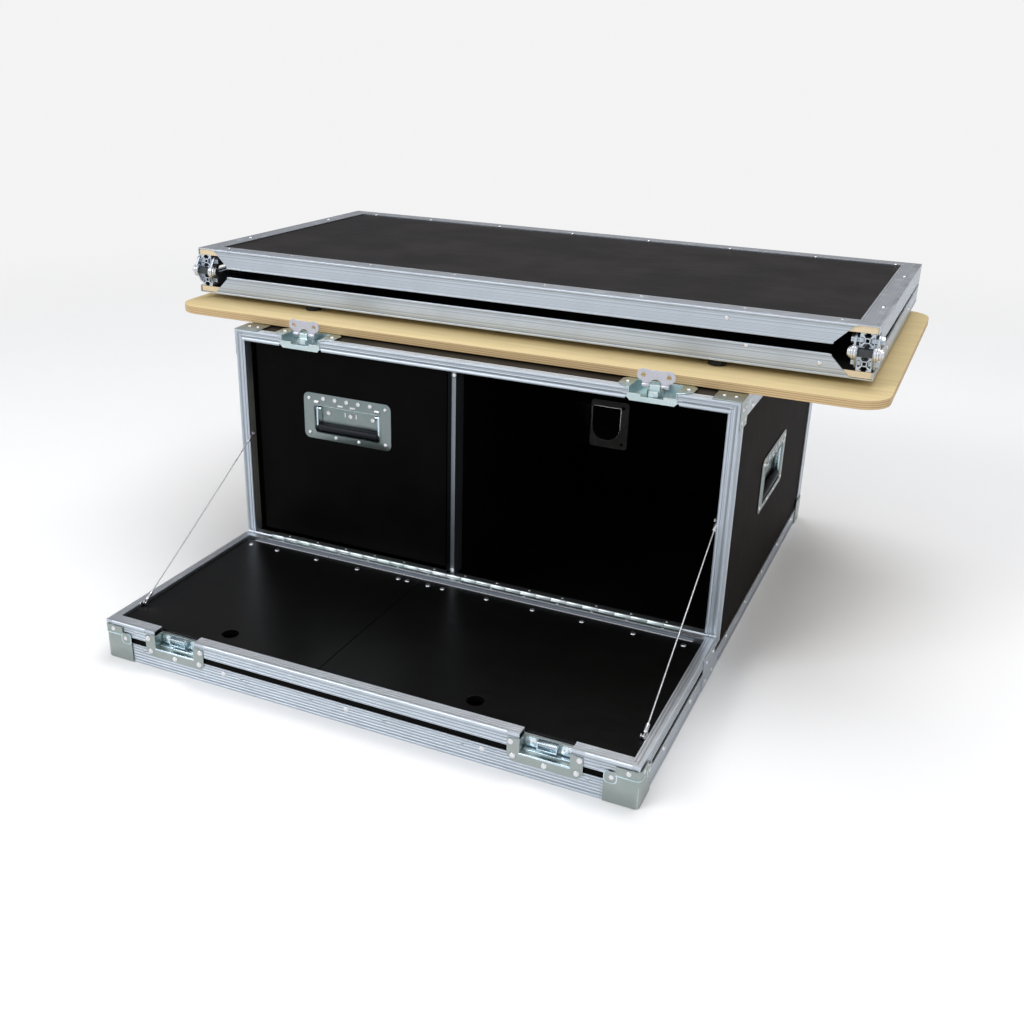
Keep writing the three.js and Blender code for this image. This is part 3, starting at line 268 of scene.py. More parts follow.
def recalculate(made):
    """Merges doubles and turns every face outwards."""
    pick(made, "FACE", anywhere)
    bpy.ops.mesh.select_all(action="SELECT")
    bpy.ops.mesh.remove_doubles(threshold=1e-6)
    bpy.ops.mesh.normals_make_consistent(inside=False)
    done()


def join(name, made):
    """One piece out of several."""
    deselect()
    for each in made:
        each.select_set(True)
    bpy.context.view_layer.objects.active = made[0]
    if len(made) > 1:
        bpy.ops.object.join()
    whole = bpy.context.object
    whole.name = whole.data.name = name
    return whole


def copies(name, pattern, frames):
    """The pattern copied to every frame, each copy with its own mesh, then joined; the pattern goes."""
    made = []
    for place in frames:
        copy = pattern.copy()
        copy.data = pattern.data.copy()
        copy.data.transform(place)
        bpy.context.scene.collection.objects.link(copy)
        made.append(copy)
    bpy.data.objects.remove(pattern)
    return join(name, made)


def standing(point, direction, scale=1.0):
    """A frame at a point with its third axis along a direction."""
    turn = Vector(direction).to_track_quat("Z", "Y").to_matrix().to_4x4()
    return Matrix.Translation(point) @ turn @ Matrix.Scale(scale, 4)


def row(places, direction, scale=1.0):
    """Frames at places in millimetres, all looking one way."""
    return [standing(spot(*place), direction, scale) for place in places]


# Finishes: sums of shader values are written as Python sums


class Value:
    """A socket in a node tree."""

    def __init__(self, nodes, socket):
        self.nodes = nodes
        self.socket = socket

    def maths(self, operation, *values):
        return self.nodes.node("ShaderNodeMath", {"operation": operation}, *values)

    def __add__(self, other):
        return self.maths("ADD", self, other)

    def __sub__(self, other):
        return self.maths("SUBTRACT", self, other)

    def __rsub__(self, other):
        return self.maths("SUBTRACT", other, self)

    def __mul__(self, other):
        return self.maths("MULTIPLY", self, other)

    __radd__ = __add__
    __rmul__ = __mul__

    def __abs__(self):
        return self.maths("ABSOLUTE", self)

    def least(self, other):
        return self.maths("MINIMUM", self, other)

    def most(self, other):
        return self.maths("MAXIMUM", self, other)

    def between(self, low, high):
        """Runs smoothly from 0 to 1 as the value goes from low to high."""
        choices = {"interpolation_type": "SMOOTHSTEP"}
        return self.nodes.node("ShaderNodeMapRange", choices, self, low, high, 0.0, 1.0)


class Nodes:
    """A node tree; every new node in it comes from node()."""

    def __init__(self, tree):
        self.tree = tree

    def node(self, kind, choices, *values, out=0, sockets=(), **named):
        """Adds a node, makes its choices, fills its sockets by order, number or name, and gives an output."""
        made = self.tree.nodes.new(kind)
        for key, value in choices.items():
            if key == "stops":
                self.set_stops(made.color_ramp.elements, value)
            else:
                setattr(made, key, value)
        for key, value in [*enumerate(values), *sockets, *named.items()]:
            self.link(made.inputs[key if isinstance(key, int) else key.replace("_", " ")], value)
        return Value(self, made.outputs[out])

    def set_stops(self, elements, stops):
        elements.remove(elements[1])
        for index, (at, tint) in enumerate(stops):
            stop = elements.new(at) if index else elements[0]
            stop.position = at
            stop.color = (*tint, 1)

    def link(self, socket, value):
        if isinstance(value, Value):
            self.tree.links.new(value.socket, socket)
        else:
            socket.default_value = value

    def find(self, kind):
        return next(n for n in self.tree.nodes if n.type == kind)

    def mix(self, share, first, second, blend="MIX"):
        ends = (value if isinstance(value, Value) else (*value, 1.0) for value in (first, second))
        choices = {"data_type": "RGBA", "blend_type": blend}
        return self.node("ShaderNodeMix", choices, sockets=zip((0, 6, 7), (share, *ends)), out=2)


class Finish(Nodes):
    """A procedural material and its shader."""

    def __init__(self, name, **plain):
        self.material = bpy.data.materials.new(name)
        self.material.use_nodes = True
        super().__init__(self.material.node_tree)
        self.shader = self.find("BSDF_PRINCIPLED")
        self.place = None
        self.give(**plain)

    def give(self, **values):
        for socket, value in values.items():
            self.link(self.shader.inputs[socket.replace("_", " ")], value)

    def point(self):
        if self.place is None:
            self.place = self.node("ShaderNodeTexCoord", {}, out="Object")
        return self.place

    def axis(self, index):
        return self.node("ShaderNodeSeparateXYZ", {}, self.point(), out=index)

    def beyond(self, index, place, blur):
        """0 before a place along an axis and 1 after it."""
        return self.axis(index).between(place - blur, place + blur)

    def normal_axis(self, index):
        straight = self.node("ShaderNodeNewGeometry", {}, out="Normal")
        return abs(self.node("ShaderNodeSeparateXYZ", {}, straight, out=index))

    def noise(self, scale, detail=2.0, rough=0.5, stretch=(1, 1, 1)):
        place = self.node("ShaderNodeMapping", {"vector_type": "POINT"}, Vector=self.point(), Scale=stretch)
        return self.node("ShaderNodeTexNoise", {}, Vector=place, Scale=scale, Detail=detail, Roughness=rough)

    def bump(self, height, distance, strength):
        self.give(Normal=self.node("ShaderNodeBump", {}, strength, distance, Height=height, out="Normal"))


def shade(colour, factor):
    """A colour made darker or lighter."""
    return tuple(max(0.0, min(1.0, c * factor)) for c in colour)


def from_edge(finish, low, high):
    """Distance in millimetres along a leg from the nearest edge of a box: the middle of its three distances."""
    gaps = []
    for index in range(3):
        value = finish.axis(index)
        gaps.append((value - low[index]).least(high[index] - value) * (1 / MM))
    a, b, c = (abs(gap) for gap in gaps)
    return a.least(b).most(a.most(b).least(c))


def film_plywood(name, colour, gloss, scuff, edge=None, dusty=0.05, rubber_below=None):
    """Phenolic film on plywood: almost black, with faint mottling, pores and wiping marks."""
    made = Finish(name, IOR=1.45, Specular_IOR_Level=gloss)
    mottle = made.noise(9, 4, 0.6)
    fine = made.noise(900)
    wiped = made.noise(26, 3, 0.55, (1, 5, 1))
    dust = made.noise(140, 5, 0.7).between(0.62, 0.8)
    base = made.mix(mottle.between(0.35, 0.7), shade(colour, 0.8), shade(colour, 1.3))
    base = made.mix(dust * dusty, base, DUST)
    if edge is not None:
        thread = made.noise(420, 3, 0.7, (0.12, 0.12, 1))
        core = made.mix(thread.between(0.5, 0.75) * 0.4, edge, shade(edge, 0.6))
        base = made.mix(made.normal_axis(2).between(0.5, 0.8), core, base)
    if rubber_below is not None:
        base = made.mix(made.beyond(2, rubber_below, 0.2 * MM), RUBBER, base)
    made.give(Base_Color=base, Roughness=scuff + wiped * 0.14 + dust * 0.1)
    made.bump(fine * 0.5 + made.noise(60) * 0.5, 0.00012, 0.25)
    return made.material


def birch(name, face, edge, low, high, upright):
    """Birch plywood: long grain on the faces and its layers on the edges, upright for walls."""
    made = Finish(name, IOR=1.45, Specular_IOR_Level=0.3)
    grain = made.noise(16, 5, 0.6, (0.35, 5, 1))
    fibre = made.noise(260, 3, 0.6, (0.06, 1, 1))
    warm = made.noise(3.5, 2, 0.5, (0.6, 2.5, 1))
    veneer = made.mix(grain.between(0.3, 0.75), shade(face, 1.06), shade(face, 0.9))
    veneer = made.mix(warm.between(0.35, 0.75) * 0.3, veneer, shade(face, 0.86))
    veneer = made.mix(fibre.between(0.55, 0.8) * 0.15, veneer, shade(face, 0.66))
    height = (made.axis(2) - low) * (1 / (high - low))
    layer = made.node("ShaderNodeMath", {"operation": "PINGPONG"}, height * (0 if upright else 8), 1.0)
    thread = made.noise(420, 3, 0.7, (0.12, 0.12, 1))
    core = made.mix(layer.between(0.4, 0.6), shade(edge, 0.74), shade(edge, 1.12))
    core = made.mix(thread.between(0.55, 0.75) * 0.2, core, shade(edge, 0.6))
    flat = made.normal_axis(2).between(0.5, 0.8)
    if upright:
        flat = 1 - flat
    made.give(Base_Color=made.mix(flat, core, veneer), Roughness=0.5 + grain * 0.12)
    made.bump(fibre * 0.5 + layer * (1 - flat) * 0.5, 0.0002, 0.35)
    return made.material


def profile(name, colour, low, high, ribs, dark_below=None):
    """Drawn aluminium: streaks along the leg and fine ribs at the given distances from the edge, with painted shade
    in the grooves and a painted sheen on faces that look upwards.
    """
    made = Finish(name, Metallic=1.0)
    across = from_edge(made, low, high)
    streak = made.node("ShaderNodeTexNoise", {"noise_dimensions": "1D"}, W=across, Scale=0.55, Detail=4)
    cloud = made.noise(14, 3, 0.6)
    handled = made.noise(55, 4, 0.65)
    tone = made.mix(streak.between(0.35, 0.65), shade(colour, 0.74), shade(colour, 1.16))
    tone = made.mix(cloud.between(0.45, 0.75) * 0.35, tone, shade(colour, 0.78))
    groove = None
    for at, width in ribs:
        line = 1 - (abs(across - at) * (1 / width)).between(0.4, 1.0)
        groove = line if groove is None else groove.most(line)
    if groove is None:
        made.bump(streak, 0.00004, 0.6)
    else:
        # painted shade: the grooves are darkened towards 0.42 of the aluminium's colour
        tone = made.mix(groove * 0.55, tone, shade(colour, 0.42))
        made.bump(streak * 0.06 - groove, 0.0005, 0.8)
    # painted sheen: faces that look upwards are mixed halfway towards a pale colour
    tone = made.mix(made.normal_axis(2).between(0.6, 0.9) * 0.5, tone, PAINTED_TOP_SHEEN)
    if dark_below is not None:
        tone = made.mix(made.beyond(0, dark_below, 0.3 * MM), shade(colour, 0.03), tone)
    made.give(Base_Color=tone, Roughness=0.34 + streak * 0.12 + handled.between(0.5, 0.8) * 0.12)
    return made.material


def plated(name, colour, tint, rough):
    """Zinc plated sheet: cool, with a faint green and violet bloom and fine rolling marks."""
    made = Finish(name, Metallic=1.0)
    bloom = made.noise(24)
    fleck = made.noise(330, 3, 0.6)
    rolled = made.noise(700, 2, 0.5, (0.05, 1, 1))
    tone = made.mix(bloom.between(0.35, 0.7) * 0.6, colour, tint)
    tone = made.mix(fleck.between(0.5, 0.8) * 0.25, tone, shade(colour, 0.66))
    made.give(Base_Color=tone, Roughness=rough + fleck * 0.12 + bloom * 0.06)
    made.bump(rolled * 0.5 + fleck * 0.5, 0.00005, 0.5)
    return made.material


def moulded(name, colour, rough, grain):
    """Moulded rubber or plastic with a fine pebble grain."""
    made = Finish(name, IOR=1.45, Specular_IOR_Level=0.3)
    worn = made.noise(45, 4, 0.6)
    tone = made.mix(worn.between(0.4, 0.75) * 0.5, colour, shade(colour, 1.8))
    made.give(Base_Color=tone, Roughness=rough + worn * 0.14)
    made.bump(made.node("ShaderNodeTexVoronoi", {}, Vector=made.point(), Scale=grain), 0.00015, 0.5)
    return made.material


# Sizes and colours that a user would change


def colour_setting(name, about, value):
    return FloatVectorProperty(name=name, description=about, default=value, size=3, min=0, max=1, subtype="COLOR")


def length_setting(name, about, value):
    return FloatProperty(name=name, description=about, default=value, unit="LENGTH", subtype="DISTANCE")


class BoxColours(bpy.types.PropertyGroup):
    # Painted reflection: the film on top is kept lighter than the same film on the sides, for the room's reflection
    # on the top
    film: colour_setting("Plywood film", "Colour of the film on top of the case", (0.034, 0.029, 0.022))
    # Painted shade: the same film on the case's sides is kept four times darker than on top
    side_film: colour_setting("Side film", "Colour of the film on the case's sides", (0.0085, 0.0062, 0.0052))
    # Painted shade: the film inside the case is kept far darker than on top; the drawer front, the flap and its
    # lids take the same colour
    inner_film: colour_setting("Inner film", "Colour of the drawer and of the inside", (0.0022, 0.0021, 0.002))
    deck_film: colour_setting("Deck film", "Colour of the folded table", (0.0185, 0.0163, 0.016))
    birch_face: colour_setting("Birch face", "Colour of the board's veneer", (0.72, 0.57, 0.3))
    birch_edge: colour_setting("Birch edge", "Colour of the plywood edges", (0.56, 0.4, 0.21))
    aluminium: colour_setting("Aluminium", "Colour of the drawn profiles", (0.53, 0.585, 0.645))
    zinc: colour_setting("Zinc", "Colour of the plated fittings", (0.36, 0.4, 0.385))
    zinc_bloom: colour_setting("Zinc bloom", "Tint that plays over the plated fittings", (0.3, 0.36, 0.34))
    steel: colour_setting("Bright steel", "Colour of rivets, screws and wires", (0.78, 0.78, 0.8))
    grip: colour_setting("Grip", "Colour of the handle grips", (0.004, 0.005, 0.009))
    outlet: colour_setting("Outlet plate", "Colour of the plate round the feed-through", (0.16, 0.16, 0.15))


class BoxSizes(bpy.types.PropertyGroup):
    rivet: length_setting("Rivet", "Radius of a rivet head", 4 * MM)
    rivet_rise: length_setting("Rivet rise", "Height of a rivet head", 1.5 * MM)
    edge: length_setting("Soft edge", "Rounding on the edges of the sheet parts", 0.35 * MM)
    rib_width: length_setting("Rib width", "Width of a rib on the profiles", 1.8 * MM)
    rib_height: length_setting("Rib height", "Height of a rib on the profiles", 0.6 * MM)
    wire: length_setting("Wire", "Radius of a stay wire", 1.0 * MM)
    strands: IntProperty(name="Strands", description="Strands laid round a stay wire", default=6, min=3, max=12)


FINISHES = {}
NODE_FINISH = {
    "film": "top_panel",
    "side_film": "*_panel",
    "inner_film": "bottom_panel back_panel sill_panel divider_panel drawer_front flap_panel flap_frame",
    "lid_film": "flap_lid_*",
    "leaf_film": "upper_leaf_panel",
    "zinc": (
        "hinge_case_leaf hinge_flap_leaf corner_brace_* rear_corner_* flap_corner_* flap_keeper_* "
        "drawer_handle_dish *_handle_dish drawer_runner_* *_latch_wing"
    ),
    "latch": "*_latch_dish *_latch_hub",
    "steel": "hinge_pin lid_hinge stay_anchor_case_* stay_anchor_flap_* stay_wire_*",
    "outlet": "outlet_plate",
    "grip": "drawer_handle_bail *_handle_bail",
}
# Ribs drawn by the finish as grooves with painted shade: distance from the profile's edge and half width
RIBBED = {
    "front_frame": ((4, 0.6), (11, 1.3)),
    "case_angles": ((7, 0.8), (10, 0.8), (26.5, 0.8)),
    "flap_rim": ((5.6, 0.9), (9.8, 0.9), (14.0, 0.9)),
    "flap_angle": ((4.7, 1.0), (9.2, 1.0), (13.7, 1.0), (18.2, 1.0), (22.7, 1.0), (27.2, 1.0)),
    "lower_leaf_angles upper_leaf_angles": ((3.8, 0.6), (26.5, 0.6)),
    "lower_rail_* upper_rail_*": (),
}


def both_sides(names):
    """The single names of a list; a star stands for left and for right."""
    for name in names.split():
        yield from dict.fromkeys(name.replace("*", side) for side, s in SIDES)


def coat(made, material):
    made.data.materials.clear()
    made.data.materials.append(material)


def fit(made, finish, body, replaced=None, place=None):
    """Puts a piece in its place, gives it its finish and slot, and fastens it to the body that carries it."""
    if place is not None:
        made.data.transform(place)
    coat(made, FINISHES[finish])
    if replaced:
        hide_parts(replaced)
    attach(made, body)


def fit_profile(name, bars, angle, body, node):
    """Joins bars to one piece and gives it the aluminium of the node that it runs along."""
    made = join(name, bars)
    smooth(angle)
    coat(made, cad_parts[node].data.materials[0])
    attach(made, body)


class BOX_OT_stage(bpy.types.Operator):
    """Floor, lamps, world and camera"""

    bl_idname = "box.stage"
    bl_label = "Stage"

    def execute(self, context):
        deselect()
        place = (0, 0, -0.5 * MM)
        bpy.ops.mesh.primitive_circle_add(vertices=96, radius=FLOOR_RADIUS, fill_type="NGON", location=place)
        floor = settle("floor")
        pick(floor, "FACE", anywhere)
        for step in FLOOR_RINGS:
            bpy.ops.mesh.inset(thickness=step)
        done()
        floor.data.materials.append(self.pale_floor())
        self.light_world(context)
        self.hang_lamps(context)
        self.place_camera(context)
        context.scene.view_settings.view_transform = "Standard"
        return {"FINISHED"}

    def hang_lamps(self, context):
        aim = Vector((0, 0, 0.25))
        for name, place, size, power, tint in (
            ("key", (-2.4, -3.4, 3.2), 2.6, 95, (1.0, 0.99, 0.97)),
            ("fill", (3.4, -2.2, 2.0), 2.4, 26, (0.95, 0.97, 1.0)),
            ("over", (0.3, 0.9, 3.6), 3.0, 70, (1.0, 1.0, 1.0)),
        ):
            lamp = bpy.data.lights.new(name, "AREA")
            lamp.shape = "RECTANGLE"
            lamp.size = size
            lamp.size_y = size * 0.6
            lamp.energy = power
            lamp.color = tint
            holder = bpy.data.objects.new(name, lamp)
            holder.location = place
            holder.rotation_euler = (aim - Vector(place)).to_track_quat("-Z", "Y").to_euler()
            context.scene.collection.objects.link(holder)

    def place_camera(self, context):
        yaw, pitch, roll = (math.radians(angle) for angle in CAMERA_TURN)
        ahead = Vector((math.sin(yaw) * math.cos(pitch), math.cos(yaw) * math.cos(pitch), math.sin(pitch)))
        right = Vector((math.cos(yaw), -math.sin(yaw), 0))
        up = right.cross(ahead)
        right, up = right * math.cos(roll) + up * math.sin(roll), up * math.cos(roll) - right * math.sin(roll)
        lens = bpy.data.cameras.new("camera")
        lens.sensor_width = SENSOR
        lens.lens = FOCAL_LENGTH / PICTURE * SENSOR
        lens.shift_x = (PICTURE / 2 - PICTURE_MIDDLE[0]) / PICTURE
        lens.shift_y = (PICTURE_MIDDLE[1] - PICTURE / 2) / PICTURE
        eye = bpy.data.objects.new("camera", lens)
        turn = Matrix((right, up, -ahead)).transposed().to_4x4()
        eye.matrix_world = Matrix.Translation(spot(*CAMERA_PLACE)) @ turn
        context.scene.collection.objects.link(eye)
        context.scene.camera = eye

    def pale_floor(self):
        """A pale floor that shows its shadows near the box and runs out into the plain background."""
        pale = Finish("pale floor", IOR=1.3, Specular_IOR_Level=0.1)
        cloud = pale.noise(1.5)
        pale.give(Base_Color=pale.mix(cloud * 0.2, (0.92, 0.92, 0.92), BACKDROP), Roughness=0.9 + cloud * 0.05)
        away = pale.node("ShaderNodeVectorMath", {"operation": "LENGTH"}, pale.point(), out=1)
        plain = pale.node("ShaderNodeEmission", {}, (*BACKDROP, 1.0), 1.0)
        lit = Value(pale, pale.shader.outputs[0])
        blend = pale.node("ShaderNodeMixShader", {}, away.between(1.0, 3.2), lit, plain)
        pale.link(pale.find("OUTPUT_MATERIAL").inputs[0], blend)
        return pale.material

    def light_world(self, context):
        """A soft room: bright in front of the box, darker behind it, a little warmer on its right."""
        world = bpy.data.worlds.new("Studio")
        context.scene.world = world
        world.use_nodes = True
        room = Nodes(world.node_tree)
        way = room.node("ShaderNodeTexCoord", {}, out="Generated")
        whole = None
        for axis, tints in ROOM_TINTS:
            share = room.node("ShaderNodeMapRange", {}, room.node("ShaderNodeSeparateXYZ", {}, way, out=axis), -1.0)
            stops = [((at + 1) / 2, tint) for at, tint in tints]
            ramp = room.node("ShaderNodeValToRGB", {"stops": stops}, share)
            whole = ramp if whole is None else room.mix(1.0, whole, ramp, "MULTIPLY")
        whole = room.mix(1.0, whole, ROOM_LEVEL, "MULTIPLY")
        seen = room.node("ShaderNodeLightPath", {}, out="Is Camera Ray")
        back = room.find("BACKGROUND")
        room.link(back.inputs["Color"], room.mix(seen, whole, BACKDROP))
        back.inputs["Strength"].default_value = 1.0


class BOX_OT_finishes(bpy.types.Operator):
    """Finishes of the sheet goods, profiles and fittings, and soft edges on them"""

    bl_idname = "box.finishes"
    bl_label = "Finishes"

    def execute(self, context):
        colours = context.scene.box_colours
        tone = {key: tuple(getattr(colours, key)) for key in BoxColours.__annotations__}
        FINISHES.update(
            # painted light: the top film is a lighter copy of one film for a painted reflection; the films on the
            # sides and inside are darker copies for painted shade
            film=film_plywood("film plywood", tone["film"], 0.07, 0.4),
            side_film=film_plywood("side film", tone["side_film"], 0.02, 0.5, dusty=0.02),
            # painted shade: the inner and lid films take the darkened inner colour
            inner_film=film_plywood("inner film", tone["inner_film"], 0.035, 0.34, dusty=0.006),
            lid_film=film_plywood("lid film", tone["inner_film"], 0.24, 0.24, dusty=0.012),
            leaf_film=film_plywood("leaf film", tone["deck_film"], 0.16, 0.4, LEAF_EDGE),
            zinc=plated("zinc plated", tone["zinc"], tone["zinc_bloom"], 0.24),
            steel=plated("bright steel", tone["steel"], shade(tone["steel"], 0.85), 0.2),
            handle=plated("handle steel", (0.25, 0.29, 0.29), (0.2, 0.27, 0.26), 0.24),
            # a lighter copy of the plated zinc; on the flap corners it paints the highlight along each fold
            bright=plated("bright zinc", (0.66, 0.78, 0.86), (0.56, 0.74, 0.8), 0.18),
            latch=plated("latch zinc", (0.58, 0.68, 0.7), (0.44, 0.6, 0.6), 0.2),
            wing=plated("cast wing", (0.58, 0.58, 0.63), (0.52, 0.53, 0.58), 0.34),
            hinge=plated("hinge steel", (0.62, 0.66, 0.68), (0.5, 0.6, 0.58), 0.26),
            grip=moulded("handle grip", tone["grip"], 0.42, 900),
            outlet=moulded("outlet plate", tone["outlet"], 0.5, 1400),
            spacer=moulded("spacer", (0.045, 0.05, 0.055), 0.4, 1100),
            membrane=moulded("membrane", (0.001, 0.001, 0.001), 0.75, 1400),
        )
        for key, names in NODE_FINISH.items():
            for name in both_sides(names):
                self.dress(name, FINISHES[key])
        for names, ribs in RIBBED.items():
            for name in both_sides(names):
                self.dress(name, profile(name.replace("_", " "), tone["aluminium"], *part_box(name), ribs))
        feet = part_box("lower_leaf_panel")[0].z + 10.9 * MM
        leaf = film_plywood("lower leaf film", tone["deck_film"], 0.16, 0.4, LEAF_EDGE, rubber_below=feet)
        self.dress("lower_leaf_panel", leaf)
        # painted shade: the divider edge's aluminium is darkened to 0.45 of its colour
        low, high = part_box("divider_edge")
        middle, shaded_aluminium = (low.x + high.x) / 2, shade(tone["aluminium"], 0.45)
        self.dress("divider_edge", profile("divider edge", shaded_aluminium, low, high, (), middle))
        for name, upright in (("deck_board", False), ("drawer_box", True)):
            low, high = (corner.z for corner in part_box(name))
            wood = birch(name.replace("_", " "), tone["birch_face"], tone["birch_edge"], low, high, upright)
            self.dress(name, wood)
        return {"FINISHED"}

    def dress(self, name, material):
        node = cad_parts[name]
        node.data.materials.clear()
        node.data.materials.append(material)
        weld = node.modifiers.new("Weld", "WELD")
        weld.merge_threshold = 0.02 * MM
        bevel = node.modifiers.new("Soft edges", "BEVEL")
        bevel.width = bpy.context.scene.box_sizes.edge
        bevel.segments = 2
        bevel.limit_method = "ANGLE"
        bevel.angle_limit = math.radians(40)
        bevel.use_clamp_overlap = True


def rivet_pattern():
    """A rivet head standing on the ground at the origin."""
    sizes = bpy.context.scene.box_sizes
    head = start_round("rivet", (0, 0, sizes.rivet_rise / 2), Z_AXIS, sizes.rivet, sizes.rivet_rise, 14)
    round_off(head, facing(Z_AXIS), sizes.rivet * 0.42, 3, "FACE")
    choose(head)
    smooth(60)
    return head


def fit_rivets(name, frames, body, finish="steel"):
    fit(copies(name, rivet_pattern(), frames), finish, body)


def table_top(x, y):
    """A point on the tilted upper face of the folded table, at most as high as a rivet may stand."""
    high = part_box("upper_leaf_angles")[1].z
    point = spot(x, y, 0)
    point.z = min(high - (y - TABLE_FRONT) * MM * math.tan(math.radians(TABLE_TILT)), high - 1.3 * MM)
    return point


class BOX_OT_rivets(bpy.types.Operator):
    """Rivet rows on the case, the flap, the lids and the folded table"""

    bl_idname = "box.rivets"
    bl_label = "Rivets"

    def execute(self, context):
        lids = row([(x, -37.2, 55) for x in LID_RIVETS], Z_AXIS)
        case, flap, upper, lower = [], [], [], []
        for s in (-1, 1):
            out = (s, 0, 0)
            wall, brace = s * HALF_CASE, s * BRACE_FACE
            along = [CASE_BACK * share for share in (0.12, 0.31, 0.5, 0.69, 0.88)]
            case += row([(wall, y, z) for y in along for z in (ANGLE_ROW, TOP_ROW)], out)
            case += row([(brace, 30, 394), (brace, 12, 376), (brace, 12, 394)], out, 0.8)
            case += row([(brace, 30, 376)], out, 0.55)
            case += row([(s * x, 22, 407.3) for x in (372, 388)], Z_AXIS, 0.7)
            flap += row([(wall, y, ANGLE_ROW) for y in (-121.5, -242.9)], out)
            flap += row([(s * 401.5, y, z) for y in (-14, -48) for z in (14, 44)], out, 0.8)
            case += row([(s * 378, CASE_BACK, z) for z in (110, 205, 300)], Y_AXIS)
            for y in (232, 489):
                upper.append(standing(table_top(TABLE_CENTRE + s * 531, y), Z_AXIS, 0.85))
                lower.append(standing(spot(TABLE_CENTRE + s * TABLE_HALF, y, 445), out, 0.8))
        for x in TABLE_RIVETS:
            for shift, depth in ((0, 23), (13, 494)):
                upper.append(standing(table_top(x + shift, TABLE_FRONT + depth), Z_AXIS, 0.85))
        upper += row([(347, TABLE_FRONT, 491)], -Y_AXIS, 0.8)
        lower += row([(x, TABLE_FRONT, z) for x, z in ((377, 456.5), (477, 445))], -Y_AXIS, 0.8)
        case += row([(x, CASE_BACK, z) for x in (-330, -200, -60, 80, 220, 340) for z in (22, 384)], Y_AXIS)
        case += row([(-17.6, 3, z) for z in (68.8, 383.7)], -Y_AXIS, 0.8)
        flap += row([(x, FLAP_FRONT, ANGLE_ROW) for x in (-198, -1, 196)], -Y_AXIS)
        for name, frames, body in (
            ("lid_rivets", lids, "flap"),
            ("flap_rivets", flap, "flap"),
            ("case_rivets", case, "case"),
            ("upper_leaf_rivets", upper, "upper_leaf"),
            ("lower_leaf_rivets", lower, "lower_leaf"),
        ):
            fit_rivets(name, frames, body)
        return {"FINISHED"}


def rib(start, end, out):
    """A low rounded bar along a profile's face, half sunk in it."""
    sizes = bpy.context.scene.box_sizes
    width, height = sizes.rib_width, sizes.rib_height
    along = (end - start).normalized()
    side = along.cross(out)
    length = (end - start).length
    parts = zip(along, side, out)
    reach = Vector([abs(a) * length / 2 + abs(b) * width / 2 + abs(c) * height for a, b, c in parts])
    middle = (start + end) / 2
    bar = start_block("rib", middle - reach, middle + reach)

    def outer(centre, way):
        return abs(way.dot(along)) > NEARLY and (centre - middle).dot(out) > 0

    round_off(bar, outer, min(width, height) * 0.45, 2)
    return bar


def bead(low, high):
    """A thick bar between its low corner and its high one, rounded along its length."""
    bar = start_block("bead", low, high)
    size = high - low
    longest = max(range(3), key=lambda i: size[i])
    round_off(bar, lambda middle, way: abs(way[longest]) > NEARLY, min(size) * 0.42, 4)
    return bar


def beside_latches(end, clear):
    """The three stretches of an edge that the two latches leave, from -end to end."""
    near, far = LATCH_CENTRE - clear, LATCH_CENTRE + clear
    return (-end, -far), (-near, near), (far, end)


def front_line(x0, x1, y, z):
    """A rib from left to right on a face that looks forwards."""
    return spot(x0, y, z), spot(x1, y, z), -Y_AXIS


def side_line(s, x, y0, y1, z):
    """A rib from front to back on a face that looks sideways."""
    return spot(x, y0, z), spot(x, y1, z), X_AXIS * s


